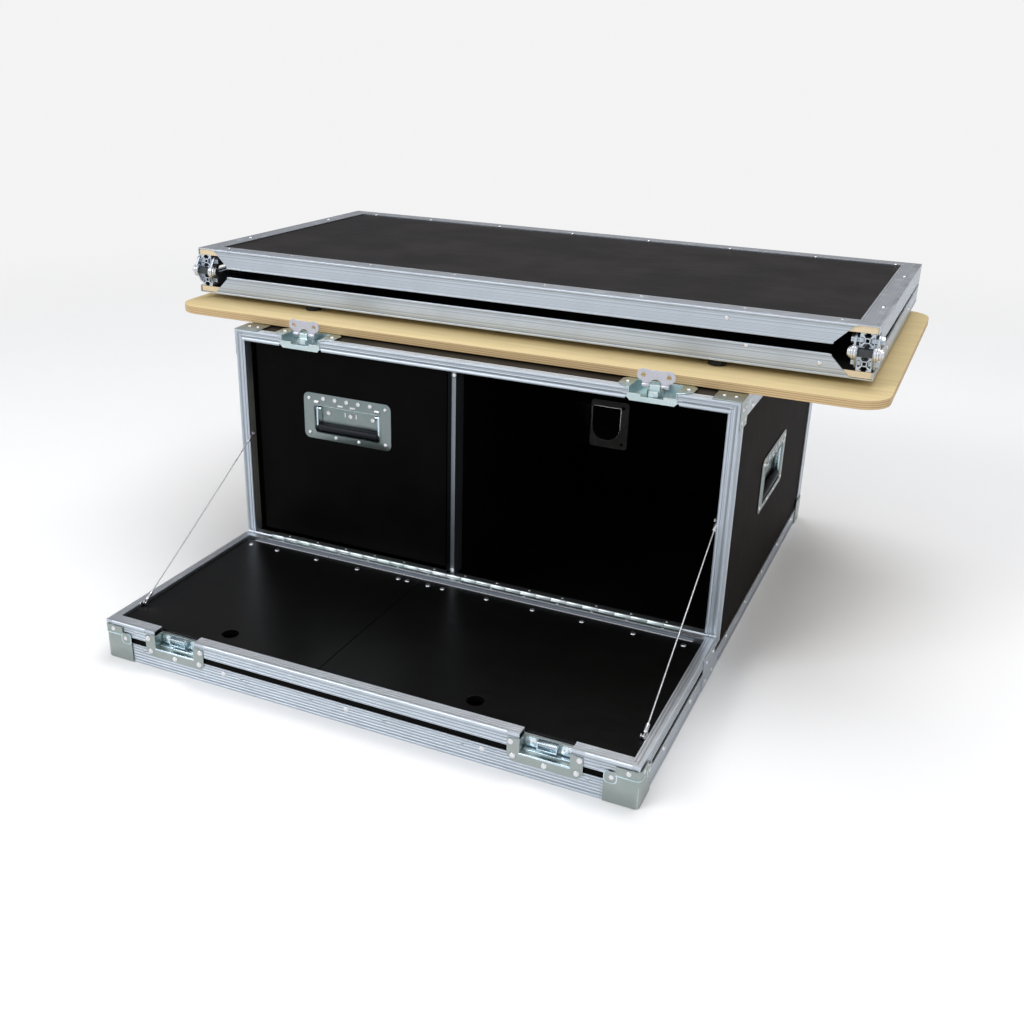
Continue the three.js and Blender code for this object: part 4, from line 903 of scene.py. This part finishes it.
class BOX_OT_ribs(bpy.types.Operator):
    """Ribs and rounded lips along the aluminium profiles"""

    bl_idname = "box.ribs"
    bl_label = "Profile ribs"

    def execute(self, context):
        lips = [bead(spot(x0, -0.9, 389.2), spot(x1, 3, 393.9)) for x0, x1 in beside_latches(388, 38)]
        for inner, outer in ((-388.2, -383.6), (383.6, 388.2)):
            lips.append(bead(spot(inner, -0.9, 62), spot(outer, 3, 389.6)))
        fit_profile("frame_beads", lips, 60, "case", "front_frame")
        front, back = FLAP_FRONT - 0.8, FLAP_FRONT + 4
        lips = [bead(spot(x0, front, 52.4), spot(x1, back, 59.2)) for x0, x1 in beside_latches(390, 51)]
        fit_profile("rim_beads", lips, 60, "flap", "flap_rim")
        for body, lines in (("flap", self.flap()), ("case", self.case()), *self.table()):
            node = "flap_angle" if body == "flap" else body + "_angles"
            fit_profile(body + "_ribs", [rib(*line) for line in lines], 50, body, node)
        return {"FINISHED"}

    def flap(self):
        lines = []
        for z in (49.5, 45.2, 40.9):
            lines += [front_line(x0, x1, FLAP_FRONT, z) for x0, x1 in beside_latches(350, 50)]
            lines += [side_line(s, s * HALF_CASE, -298, -66, z) for s in (-1, 1)]
        for z in (29.2, 24.9, 20.4, 15.9, 11.4, 6.9, 2.4):
            lines.append(front_line(-352, 352, FLAP_FRONT, z))
            if z > 25 or z < 8:
                lines += [side_line(s, s * HALF_CASE, -300, -66, z) for s in (-1, 1)]
        return lines

    def case(self):
        lines = []
        for s in (-1, 1):
            wall = s * HALF_CASE
            lines += [(spot(s * x, 0, 62), spot(s * x, 0, 404), -Y_AXIS) for x in (398.6, 394.4, 389.6)]
            lines += [(spot(wall, y, 41), spot(wall, y, 364), X_AXIS * s) for y in (7, 16, 25)]
            lines += [side_line(s, wall, 32, 588, z) for z in (6, 10, 27.5)]
        for z in (404.2, 397.6):
            lines += [front_line(x0, x1, 0, z) for x0, x1 in beside_latches(386, 42)]
        return lines

    def table(self):
        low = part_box("lower_leaf_angles")[0].z / MM
        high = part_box("upper_leaf_angles")[1].z / MM
        lower, upper = [], []
        for rise in (1.6, 28.6):
            left, right = TABLE_CENTRE - TABLE_RIB_HALF + rise, TABLE_CENTRE + TABLE_RIB_HALF - rise
            lower.append(front_line(left, right, TABLE_FRONT, low + rise))
            upper.append(front_line(left, right, TABLE_FRONT, high - rise))
            lower += [side_line(s, TABLE_CENTRE + s * TABLE_HALF, 130, 620, low + rise) for s in (-1, 1)]
        return ("lower_leaf", lower), ("upper_leaf", upper)


def dish_pattern(name, width, height, depth):
    """A pressed handle dish facing -Y, its plate's front in the plane y = 0 and its middle at the origin."""
    plate = start_sheet(name, (0, 0, 0), width, height)
    bpy.ops.object.mode_set(mode="EDIT")
    bpy.ops.mesh.select_mode(type="VERT")
    bpy.ops.mesh.select_all(action="SELECT")
    bpy.ops.mesh.bevel(offset=9 * MM, segments=4, affect="VERTICES")
    bpy.ops.mesh.select_mode(type="FACE")
    bpy.ops.mesh.select_all(action="SELECT")
    side, top, bottom = 16.5 * MM, 18 * MM, 10 * MM
    shares = ((width - 2 * side) / width, 1, (height - top - bottom) / height)
    middle = (0, 0, (bottom - top) / 2)
    bpy.ops.mesh.inset(thickness=0.5 * MM, use_outset=False)
    bpy.ops.transform.resize(value=shares, center_override=(0, 0, 0))
    bpy.ops.transform.translate(value=middle)
    steps = ((-0.9, 0.985), (-0.3, 0.98), (1.6, 0.985), (depth * 0.75 / MM, 0.985), (depth * 0.2 / MM, 0.94))
    for step, spread in steps:
        push((0, step * MM, 0))
        bpy.ops.transform.resize(value=(spread, 1, spread), center_override=middle)
    done()
    modify(plate, "SOLIDIFY", thickness=1.1 * MM, offset=-1)
    recalculate(plate)
    return soften(plate, 0.5 * MM, 2, 25)


def boss(centre, along, radius, rise, sides=20):
    """A turned head: a disc with a rounded edge and a shallow hollow in its face."""
    way = Vector(along).normalized()
    made = start_round("boss", Vector(centre) + way * rise / 2, way, radius, rise, sides)
    step_face(made, way, radius * 0.4, -way * rise * 0.45)
    return soften(made, radius * 0.12)


class BOX_OT_handles(bpy.types.Operator):
    """Recessed spring handles: pressed dish, its heads, steel arms and rubber grip"""

    bl_idname = "box.handles"
    bl_label = "Handles"

    def execute(self, context):
        self.build("drawer_handle", "drawer", 0)
        for name, s in SIDES:
            self.build(name + "_handle", "case", s * math.radians(90))
        return {"FINISHED"}

    def build(self, name, body, turn):
        low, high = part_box(name + "_dish")
        size = high - low
        width = size.x if turn == 0 else size.y
        outward = Vector((math.sin(turn), -math.cos(turn), 0))
        middle = (low + high) / 2
        reach = max(abs(outward.x) * size.x, abs(outward.y) * size.y) / 2
        place = Matrix.Translation(middle + outward * (reach - 1.3 * MM)) @ Matrix.Rotation(turn, 4, "Z")
        dish = dish_pattern(name + "_pressing", width, size.z, 12.2 * MM)
        fit(join(name + "_heads", self.heads(width, size.z)), "steel", body, place=place)
        fit(dish, "handle", body, name + "_dish", place)

        low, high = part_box(name + "_bail")
        span = high - low
        half = (span.x if turn == 0 else span.y) / 2 - 0.5 * MM
        deep = 4.9 * MM
        top = high.z - middle.z - 2.5 * MM
        bottom = low.z - middle.z + 6 * MM
        fit(self.arms(name, half, deep, top, bottom), "bright", name, name + "_bail", place)
        fit(self.grip(name, half - 4.5 * MM, deep, bottom), "grip", name, place=place)

    def heads(self, width, height):
        """Rivets round the plate, and the bosses of the spring along its top."""
        x, z = width / 2 - 9.7 * MM, height / 2 - 9 * MM
        unit, top = width / DRAWER_PLATE, height / 2
        spots = [(-x, z), (x, z), (-x, -z), (x, -z), (-20.7 * unit, 6 * MM - top), (20.7 * unit, 6 * MM - top)]
        made = [copies("heads", rivet_pattern(), [standing(Vector((a, 0, b)), -Y_AXIS, 0.8) for a, b in spots])]
        for along in (-42, -21, 0, 21, 42):
            made.append(boss((along * unit, 0, top - 7 * MM), -Y_AXIS, 3.4 * MM, 1.1 * MM))
        for along in (-10, 10):
            low = Vector((along * unit - 0.8 * MM, 11.4 * MM, top - 36 * MM))
            made.append(start_block("slot", low, low + Vector((1.6, 1.2, 7)) * MM))
        for along in (-40, 0, 40):
            made.append(boss((along * unit, 12 * MM, top - 33.5 * MM), -Y_AXIS, 3.6 * MM, 1.4 * MM))
        for along in (-11, 11):
            low = Vector((along * unit - 5 * MM, -1.0 * MM, top - 16.5 * MM))
            made.append(soften(start_block("tab", low, low + Vector((10, 1.4, 3)) * MM), 0.4 * MM))
        for s in (-1, 1):
            end = start_round("knuckle", (s * 54.5 * unit, 0.4 * MM, top - 14 * MM), X_AXIS, 3.0 * MM, 9 * MM, 16)
            made.append(soften(end, 0.9 * MM, 3))
        return made

    def arms(self, name, half, deep, top, bottom):
        """The bent steel arms, their pivot bar and the bar inside the grip."""
        made = []
        for s in (-1, 1):
            made.append(start_round("pivot", (s * (half - 3.5 * MM), deep, top), X_AXIS, 2.6 * MM, 10 * MM, 16))
            inner, outer = sorted((s * (half - 3.2 * MM), s * half))
            low = Vector((inner, deep - 3.4 * MM, bottom - 3.4 * MM))
            arm = start_block("arm", low, Vector((outer, deep + 3.4 * MM, top + 3.4 * MM)))
            round_off(arm, running(X_AXIS), 3.3 * MM, 4)
            made.append(soften(arm, 0.5 * MM, 2, 50))
            made.append(boss((s * half, deep, top), (s, 0, 0), 3.2 * MM, 1.4 * MM, 14))
        made.append(start_round("bar", (0, deep, bottom), X_AXIS, 3.0 * MM, 2 * half - 4 * MM, 12))
        whole = join(name + "_arms", made)
        smooth(40)
        return whole

    def grip(self, name, half, deep, bottom):
        """A moulded grip with a shoulder and a narrow end on each side."""
        grip = start_round(name + "_grip", (0, deep, bottom), X_AXIS, 5.9 * MM, 2 * half, 28)
        for s in (-1, 1):
            pick(grip, "FACE", facing((s, 0, 0)))
            bpy.ops.mesh.inset(thickness=0.9 * MM)
            push((s * 4 * MM, 0, 0))
            bpy.ops.transform.resize(value=(1, 0.8, 0.8), center_override=(s * half, deep, bottom))
            done()
        return soften(grip, 0.7 * MM, 3)


class BOX_OT_wings(bpy.types.Operator):
    """Butterfly wings, hub caps and rivets of the two latches"""

    bl_idname = "box.wings"
    bl_label = "Latches"

    def execute(self, context):
        for name, s in SIDES:
            low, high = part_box(name + "_latch_wing")
            middle = (low + high) / 2
            wing = self.wing(name, middle.x, middle.y, low.z + 3.4 * MM, high.z)
            fit(wing, "wing", name + "_latch_wing", name + "_latch_wing")
            cap = self.cap(name, spot(s * LATCH_CENTRE, 13, 401.6))
            fit(cap, "steel", name + "_latch_hub")
            heads = row([(s * LATCH_CENTRE + x, 24, 407.3) for x in (-43, 43)], Z_AXIS, 0.85)
            fit_rivets(name + "_latch_rivets", heads, "case")
        return {"FINISHED"}

    def wing(self, name, x, y, foot, top):
        """A flat plate with two eared lobes, an arch between its legs and a rolled sleeve at each foot."""
        thick, lobe, drill = 1.5 * MM, 9 * MM, 8 * MM
        hole_x, hole_z = 18 * MM, top - lobe
        plate = start_round("wing", (x - hole_x, y, hole_z), Y_AXIS, lobe, thick, 40)
        combine(plate, "UNION", start_round("lobe", (x + hole_x, y, hole_z), Y_AXIS, lobe, thick, 40))
        low = Vector((x - 19 * MM, y - thick / 2, foot))
        combine(plate, "UNION", start_block("web", low, Vector((x + 19 * MM, y + thick / 2, top - 1.2 * MM))))
        combine(plate, "DIFFERENCE", start_round("arch", (x, y, foot), Y_AXIS, 8.5 * MM, drill, 40))
        for s in (-1, 1):
            hole = start_round("hole", (x + s * hole_x, y, hole_z), Y_AXIS, 3.2 * MM, drill, 28)
            combine(plate, "DIFFERENCE", hole)
        made = [soften(plate, 0.3 * MM)]
        for s in (-1, 1):
            sleeve = start_round("sleeve", (x + s * 13.8 * MM, y, foot), X_AXIS, 3.2 * MM, 10.4 * MM, 24)
            made.append(soften(sleeve, 0.4 * MM))
        return join(name + "_wing", made)

    def cap(self, name, centre):
        """The stepped cap over the turning hub."""
        disc = start_round("disc", centre, Z_AXIS, 10.8 * MM, 1.0 * MM, 36)
        pick(disc, "FACE", facing(Z_AXIS))
        for inset, rise in ((2.2, 0), (0.5, 0.9), (2.0, 0.0), (0.4, -0.7)):
            bpy.ops.mesh.inset(thickness=inset * MM)
            bpy.ops.transform.translate(value=(0, 0, rise * MM))
        done()
        soften(disc, 0.2 * MM)
        neck = start_block("neck", centre + Vector((-6, -3, 0)) * MM, centre + Vector((6, 3, 5.4)) * MM)
        return join(name + "_hub_cap", [disc, soften(neck, 0.8 * MM, 3)])


class BOX_OT_keeper_fittings(bpy.types.Operator):
    """Rivets, pressed ridge and catch block of the two keepers on the flap"""

    bl_idname = "box.keeper_fittings"
    bl_label = "Keeper fittings"

    def execute(self, context):
        for name, s in SIDES:
            x = s * LATCH_CENTRE
            heads = row([(x + aside, KEEPER_FACE, z) for aside, z in KEEPER_RIVETS], -Y_AXIS, 1.05)
            heads += row([(x + aside, FLAP_FRONT + 14.6, 43) for aside in (-23.5, 23.5)], -Y_AXIS)
            fit_rivets(name + "_keeper_rivets", heads, "flap")
            pieces = [self.catch(x)]
            lip = start_block("lip", spot(x - 34, KEEPER_FACE - 0.9, 31), spot(x + 34, KEEPER_FACE + 1.5, 33.8))
            pieces.append(soften(lip, 0.9 * MM, 4))
            step = start_block("step", spot(x - 32, FLAP_FRONT + 7, 33), spot(x + 32, FLAP_FRONT + 14, 35.2))
            pieces.append(soften(step, 0.8 * MM, 3))
            for side in (-1, 1):
                near, far = sorted((x + side * 16.5, x + side * 31.5))
                tab = start_block("tab", spot(near, FLAP_FRONT + 13.8, 36.5), spot(far, FLAP_FRONT + 15, 49.5))
                round_off(tab, running(Y_AXIS), 3 * MM, 4)
                pieces.append(soften(tab, 0.4 * MM))
            fit(join(name + "_keeper_catch", pieces), "bright", "flap")
        return {"FINISHED"}

    def catch(self, x):
        """The folded catch: a top plate that reaches forward over a hollow."""
        block = start_block("catch", spot(x - 13.4, FLAP_FRONT + 5.2, 40), spot(x + 13.4, FLAP_FRONT + 15, 51.3))
        step_face(block, -Y_AXIS, 1.6 * MM, (0, 7 * MM, 0))
        return soften(block, 0.5 * MM, 3)


class BOX_OT_hinge(bpy.types.Operator):
    """Piano hinge with round knuckles that take turns along the pin"""

    bl_idname = "box.hinge"
    bl_label = "Piano hinge"

    def execute(self, context):
        self.build("hinge_case_leaf", "case", 25, 1)
        self.build("hinge_flap_leaf", "flap", 0, -1)
        return {"FINISHED"}

    def build(self, node, body, shift, side):
        low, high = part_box(node)
        pin = spot(0, *HINGE_PIN)
        knuckle = soften(start_round("knuckle", (0, 0, 0), X_AXIS, 3.1 * MM, 24.5 * MM, 20), 0.3 * MM)
        near, far = sorted((0, side * 4.5))
        tongue = start_block("tongue", Vector((-12.2, near, -1.2)) * MM, Vector((12.2, far, -0.05)) * MM)
        places = [KNUCKLE_START + shift + KNUCKLE_STEP * i for i in range(KNUCKLES)]
        frames = [Matrix.Translation(spot(x, *HINGE_PIN)) for x in places]
        knuckles = copies(node + "_knuckles", join("knuckle", [knuckle, tongue]), frames)
        edge = pin.y + side * 3.9 * MM
        front, back = (edge, high.y) if side > 0 else (low.y, edge)
        leaf = start_block("leaf", Vector((low.x, front, pin.z - 1.2 * MM)), Vector((high.x, back, pin.z)))
        soften(leaf, 0.3 * MM)
        y = pin.y + side * 10.5 * MM
        along = [low.x + (SCREW_START + SCREW_STEP * i) * MM for i in range(SCREWS)]
        screws = [standing(Vector((x, y, pin.z)), Z_AXIS, 0.55) for x in along]
        whole = join(node + "_round", [knuckles, leaf, copies("screws", rivet_pattern(), screws)])
        fit(whole, "hinge", body, node)


class BOX_OT_stays(bpy.types.Operator):
    """Stranded wire stays with crimped sleeves and eyelets"""

    bl_idname = "box.stays"
    bl_label = "Wire stays"

    def execute(self, context):
        for name, s in SIDES:
            top, foot = spot(s * 383.2, 8, 233), spot(s * 383.7, -283, 59)
            along = (foot - top).normalized()
            wire = self.wire("stay_" + name + "_strands", top, foot, along, context.scene.box_sizes)
            coat(wire, FINISHES["steel"])
            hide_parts("stay_wire_" + name)
            tuple(top)
            tuple(foot)
            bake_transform(wire)
            for body, tag, at, way in (("case", "top", top, along), ("flap", "foot", foot, -along)):
                fit(self.fitting("stay_" + name + "_" + tag, at, way), "steel", body)
        return {"FINISHED"}

    def wire(self, name, top, foot, along, sizes):
        """Strands laid round each other, with the little sag of a wire that hangs between two eyelets."""
        side = along.cross(X_AXIS).normalized()
        other = along.cross(side)
        start, end = top + along * 3.4 * MM, foot - along * 3.4 * MM
        length = (end - start).length
        turns = length / (STRAND_PITCH * MM)
        steps = int(turns * STEPS_PER_TURN)
        radius = sizes.wire * 0.42
        strands = []
        for k in range(sizes.strands):
            deselect()
            curve = bpy.data.curves.new("strand", "CURVE")
            curve.dimensions = "3D"
            curve.bevel_depth = radius
            curve.bevel_resolution = 1
            line = curve.splines.new("POLY")
            line.points.add(steps)
            for i in range(steps + 1):
                share = i / steps
                angle = 2 * math.pi * (turns * share + k / sizes.strands)
                sag = math.sin(math.pi * share) * STAY_SAG * MM
                point = start + along * length * share + Vector((0, 0, -sag))
                point += (side * math.cos(angle) + other * math.sin(angle)) * (sizes.wire - radius)
                line.points[i].co = (*point, 1)
            holder = bpy.data.objects.new("strand", curve)
            bpy.context.scene.collection.objects.link(holder)
            choose(holder)
            bpy.ops.object.convert(target="MESH")
            strands.append(bpy.context.object)
        wire = join(name, strands)
        smooth(60)
        return wire

    def fitting(self, name, at, way):
        """The crimped sleeve and the eyelet that hangs on the screw."""
        sleeve = start_round("sleeve", at + way * 12 * MM, way, 2.6 * MM, 12 * MM, 20)
        for end in (-1, 1):
            step_face(sleeve, way * end, 0.5 * MM, way * end * 0.6 * MM)
        soften(sleeve, 0.25 * MM)
        deselect()
        bpy.ops.mesh.primitive_torus_add(
            location=at, major_radius=2.9 * MM, minor_radius=0.75 * MM, major_segments=28, minor_segments=10
        )
        eye = settle("eye", X_AXIS)
        throat = start_round("throat", at + way * 4.6 * MM, way, 1.15 * MM, 3.4 * MM, 14)
        whole = join(name, [sleeve, eye, throat])
        smooth(50)
        return whole


def corner_shell(name, reach, height, thick, radius):
    """A folded corner plate round the upright edge at the origin, its legs along -X and +Y; in millimetres."""
    reach, height, thick, radius = (length * MM for length in (reach, height, thick, radius))
    shell = start_sheet(name, (-reach / 2, 0, height / 2), reach, height)
    pick(shell, "EDGE", lambda middle, way: abs(way.z) > NEARLY and middle.x > -0.1 * reach)
    push((0, reach, 0))
    done()
    round_off(shell, lambda middle, way: abs(way.z) > NEARLY and middle.xy.length < 0.01 * MM, radius, 6)
    pick(shell, "FACE", anywhere)
    bpy.ops.mesh.normals_make_consistent(inside=False)
    done()
    modify(shell, "SOLIDIFY", thickness=thick, offset=0)
    recalculate(shell)
    return soften(shell, 0.35 * MM, 2, 50)


class BOX_OT_corners(bpy.types.Operator):
    """Plated corner fittings on the flap and on the back of the case"""

    bl_idname = "box.corners"
    bl_label = "Corner fittings"

    def execute(self, context):
        for name, s in SIDES:
            self.flap_corner(name, s)
            self.rear_corner(name, s)
        return {"FINISHED"}

    def flap_corner(self, name, s):
        """A plate round the corner, a bracket above it and two tabs with rivets; a band of lighter zinc between
        plate and bracket and lighter rims round the tabs are painted highlights along each fold.
        """
        pieces = [corner_shell("shell", 45, 39.4, CORNER_SHEET, 6.5)]
        bracket = corner_shell("bracket", 31, 12, CORNER_SHEET, 6.0)
        bracket.data.transform(Matrix.Translation((0.4 * MM, -0.4 * MM, 40.6 * MM)))
        pieces.append(bracket)
        # painted highlight: the fold band and the rims round the tabs take the lighter zinc
        fold = corner_shell("fold", 31, 1.4, 2.2, 6.0)
        fold.data.transform(Matrix.Translation((0.3 * MM, -0.3 * MM, 39.3 * MM)))
        fold_highlights = [fold]
        for on_side in (False, True):
            for kind, grow, out in ((pieces, 0, 1.3), (fold_highlights, 1.1, 1.0)):
                low = Vector((-44 - grow, -out, 28.5 - grow)) * MM
                tab = start_block("tab", low, Vector((-29 + grow, 0.4, 44.5)) * MM)
                round_off(tab, running(Y_AXIS), 5 * MM, 4)
                soften(tab, 0.3 * MM)
                if on_side:
                    tab.data.transform(Matrix(((0, -1, 0, 0), (-1, 0, 0, 0), (0, 0, 1, 0), (0, 0, 0, 1))))
                    recalculate(tab)
                kind.append(tab)
        frames = []
        for along, rise in ((-35, 36), (-14, 47)):
            frames.append(standing(Vector((along, -0.5, rise)) * MM, -Y_AXIS, 0.9))
            frames.append(standing(Vector((0.5, -along, rise)) * MM, X_AXIS, 0.9))
        rivets = [copies("heads", rivet_pattern(), frames)]
        place = Matrix.Translation(spot(s * CORNER_FACE, FLAP_FRONT - 1.2, 0.4))
        if s < 0:
            place = place @ Matrix.Scale(-1, 4, X_AXIS)
        node = "flap_corner_" + name
        for tag, parts, finish, replaced in (
            ("_folded", pieces, "zinc", node), ("_folds", fold_highlights, "bright", None), ("_rivets", rivets, "steel", None)
        ):
            whole = join(node + tag, parts)
            whole.data.transform(place)
            if s < 0:
                recalculate(whole)
            fit(whole, finish, "flap", replaced)

    def rear_corner(self, name, s):
        shell = corner_shell("shell", 42, 44, CORNER_SHEET, 5.5)
        frames = [standing(Vector((-a * MM, 0, z * MM)), -Y_AXIS, 0.85) for a, z in REAR_CORNER_RIVETS]
        frames += [standing(Vector((0, a * MM, z * MM)), X_AXIS, 0.85) for a, z in REAR_CORNER_RIVETS]
        whole = join("rear_corner_" + name + "_folded", [shell, copies("heads", rivet_pattern(), frames)])
        turn = Matrix.Rotation(math.radians(90 if s > 0 else 180), 4, "Z")
        place = Matrix.Translation(spot(s * CORNER_FACE, CASE_BACK + 0.5, 0.4)) @ turn
        fit(whole, "zinc", "case", "rear_corner_" + name, place)


class BOX_OT_table_ends(bpy.types.Operator):
    """Washers, bolt heads and spacers of the links at the front ends of the folded table's rails"""

    bl_idname = "box.table_ends"
    bl_label = "Table links"

    def execute(self, context):
        for name, s in SIDES:
            middle = TABLE_CENTRE + s * TABLE_LINK
            pivot = spot(middle, 100, 466.5)
            pieces = []
            for way in (-1, 1):
                for out, radius in ((13.0, 9.6), (16.3, 10.0), (19.2, 8.0), (21.6, 5.6)):
                    centre = pivot + Vector((way * out * MM, 0, 0))
                    washer = start_round("washer", centre, (way, 0, 0), radius * MM, 2.4 * MM, 36)
                    pieces.append(soften(washer, 0.4 * MM, 3))
            fit(join("pivot_" + name, pieces), "steel", "lower_leaf")
            near, far = spot(middle - 10, 95.6, 461.4), spot(middle + 10, 112, 471.2)
            spacer = start_block("table_spacer_" + name, near, far)
            fit(soften(spacer, 1.2 * MM, 3), "spacer", "lower_leaf")
        return {"FINISHED"}


class BOX_OT_outlet_screws(bpy.types.Operator):
    """Screws of the feed-through plate in the back of the compartment, and the membrane behind it"""

    bl_idname = "box.outlet_screws"
    bl_label = "Outlet fittings"

    def execute(self, context):
        low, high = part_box("outlet_plate")
        inset = 11 * MM
        heights = (low.z + inset, high.z - inset)
        screws = [standing(Vector((high.x - inset, low.y, z)), -Y_AXIS, 0.8) for z in heights]
        fit_rivets("outlet_screws", screws, "case", "membrane")
        front = low.y + 1.2 * MM
        near = Vector((low.x + 3.5 * MM, front, low.z + 15 * MM))
        far = Vector((low.x + 60.5 * MM, front + 1 * MM, low.z + 83 * MM))
        sheet = start_block("cable_membrane", near, far)
        foot = low.z + 20 * MM
        round_off(sheet, lambda middle, way: abs(way.y) > NEARLY and middle.z < foot, 27 * MM, 10)
        step_face(sheet, -Y_AXIS, 4 * MM, (0, 0.5 * MM, 0))
        fit(soften(sheet, 0.15 * MM), "membrane", "case")
        return {"FINISHED"}


class BOX_PT_panel(bpy.types.Panel):
    """Camping box"""

    bl_label = "Camping box"
    bl_space_type = "VIEW_3D"
    bl_region_type = "UI"
    bl_category = "Camping box"

    def draw(self, context):
        for operator in OPERATORS:
            self.layout.operator(operator.bl_idname)
        for group in (context.scene.box_colours, context.scene.box_sizes):
            for key in group.__annotations__:
                self.layout.prop(group, key)


OPERATORS = (
    BOX_OT_stage,
    BOX_OT_finishes,
    BOX_OT_rivets,
    BOX_OT_ribs,
    BOX_OT_handles,
    BOX_OT_wings,
    BOX_OT_keeper_fittings,
    BOX_OT_hinge,
    BOX_OT_stays,
    BOX_OT_corners,
    BOX_OT_table_ends,
    BOX_OT_outlet_screws,
)
CLASSES = (BoxColours, BoxSizes, *OPERATORS, BOX_PT_panel)


def register():
    for each in CLASSES:
        bpy.utils.register_class(each)
    bpy.types.Scene.box_colours = PointerProperty(type=BoxColours)
    bpy.types.Scene.box_sizes = PointerProperty(type=BoxSizes)


def unregister():
    del bpy.types.Scene.box_colours
    del bpy.types.Scene.box_sizes
    for each in reversed(CLASSES):
        bpy.utils.unregister_class(each)


def main():
    register()
    for operator in OPERATORS:
        group, name = operator.bl_idname.split(".")
        getattr(getattr(bpy.ops, group), name)()
    deselect()


if __name__ == "__main__":
    main()
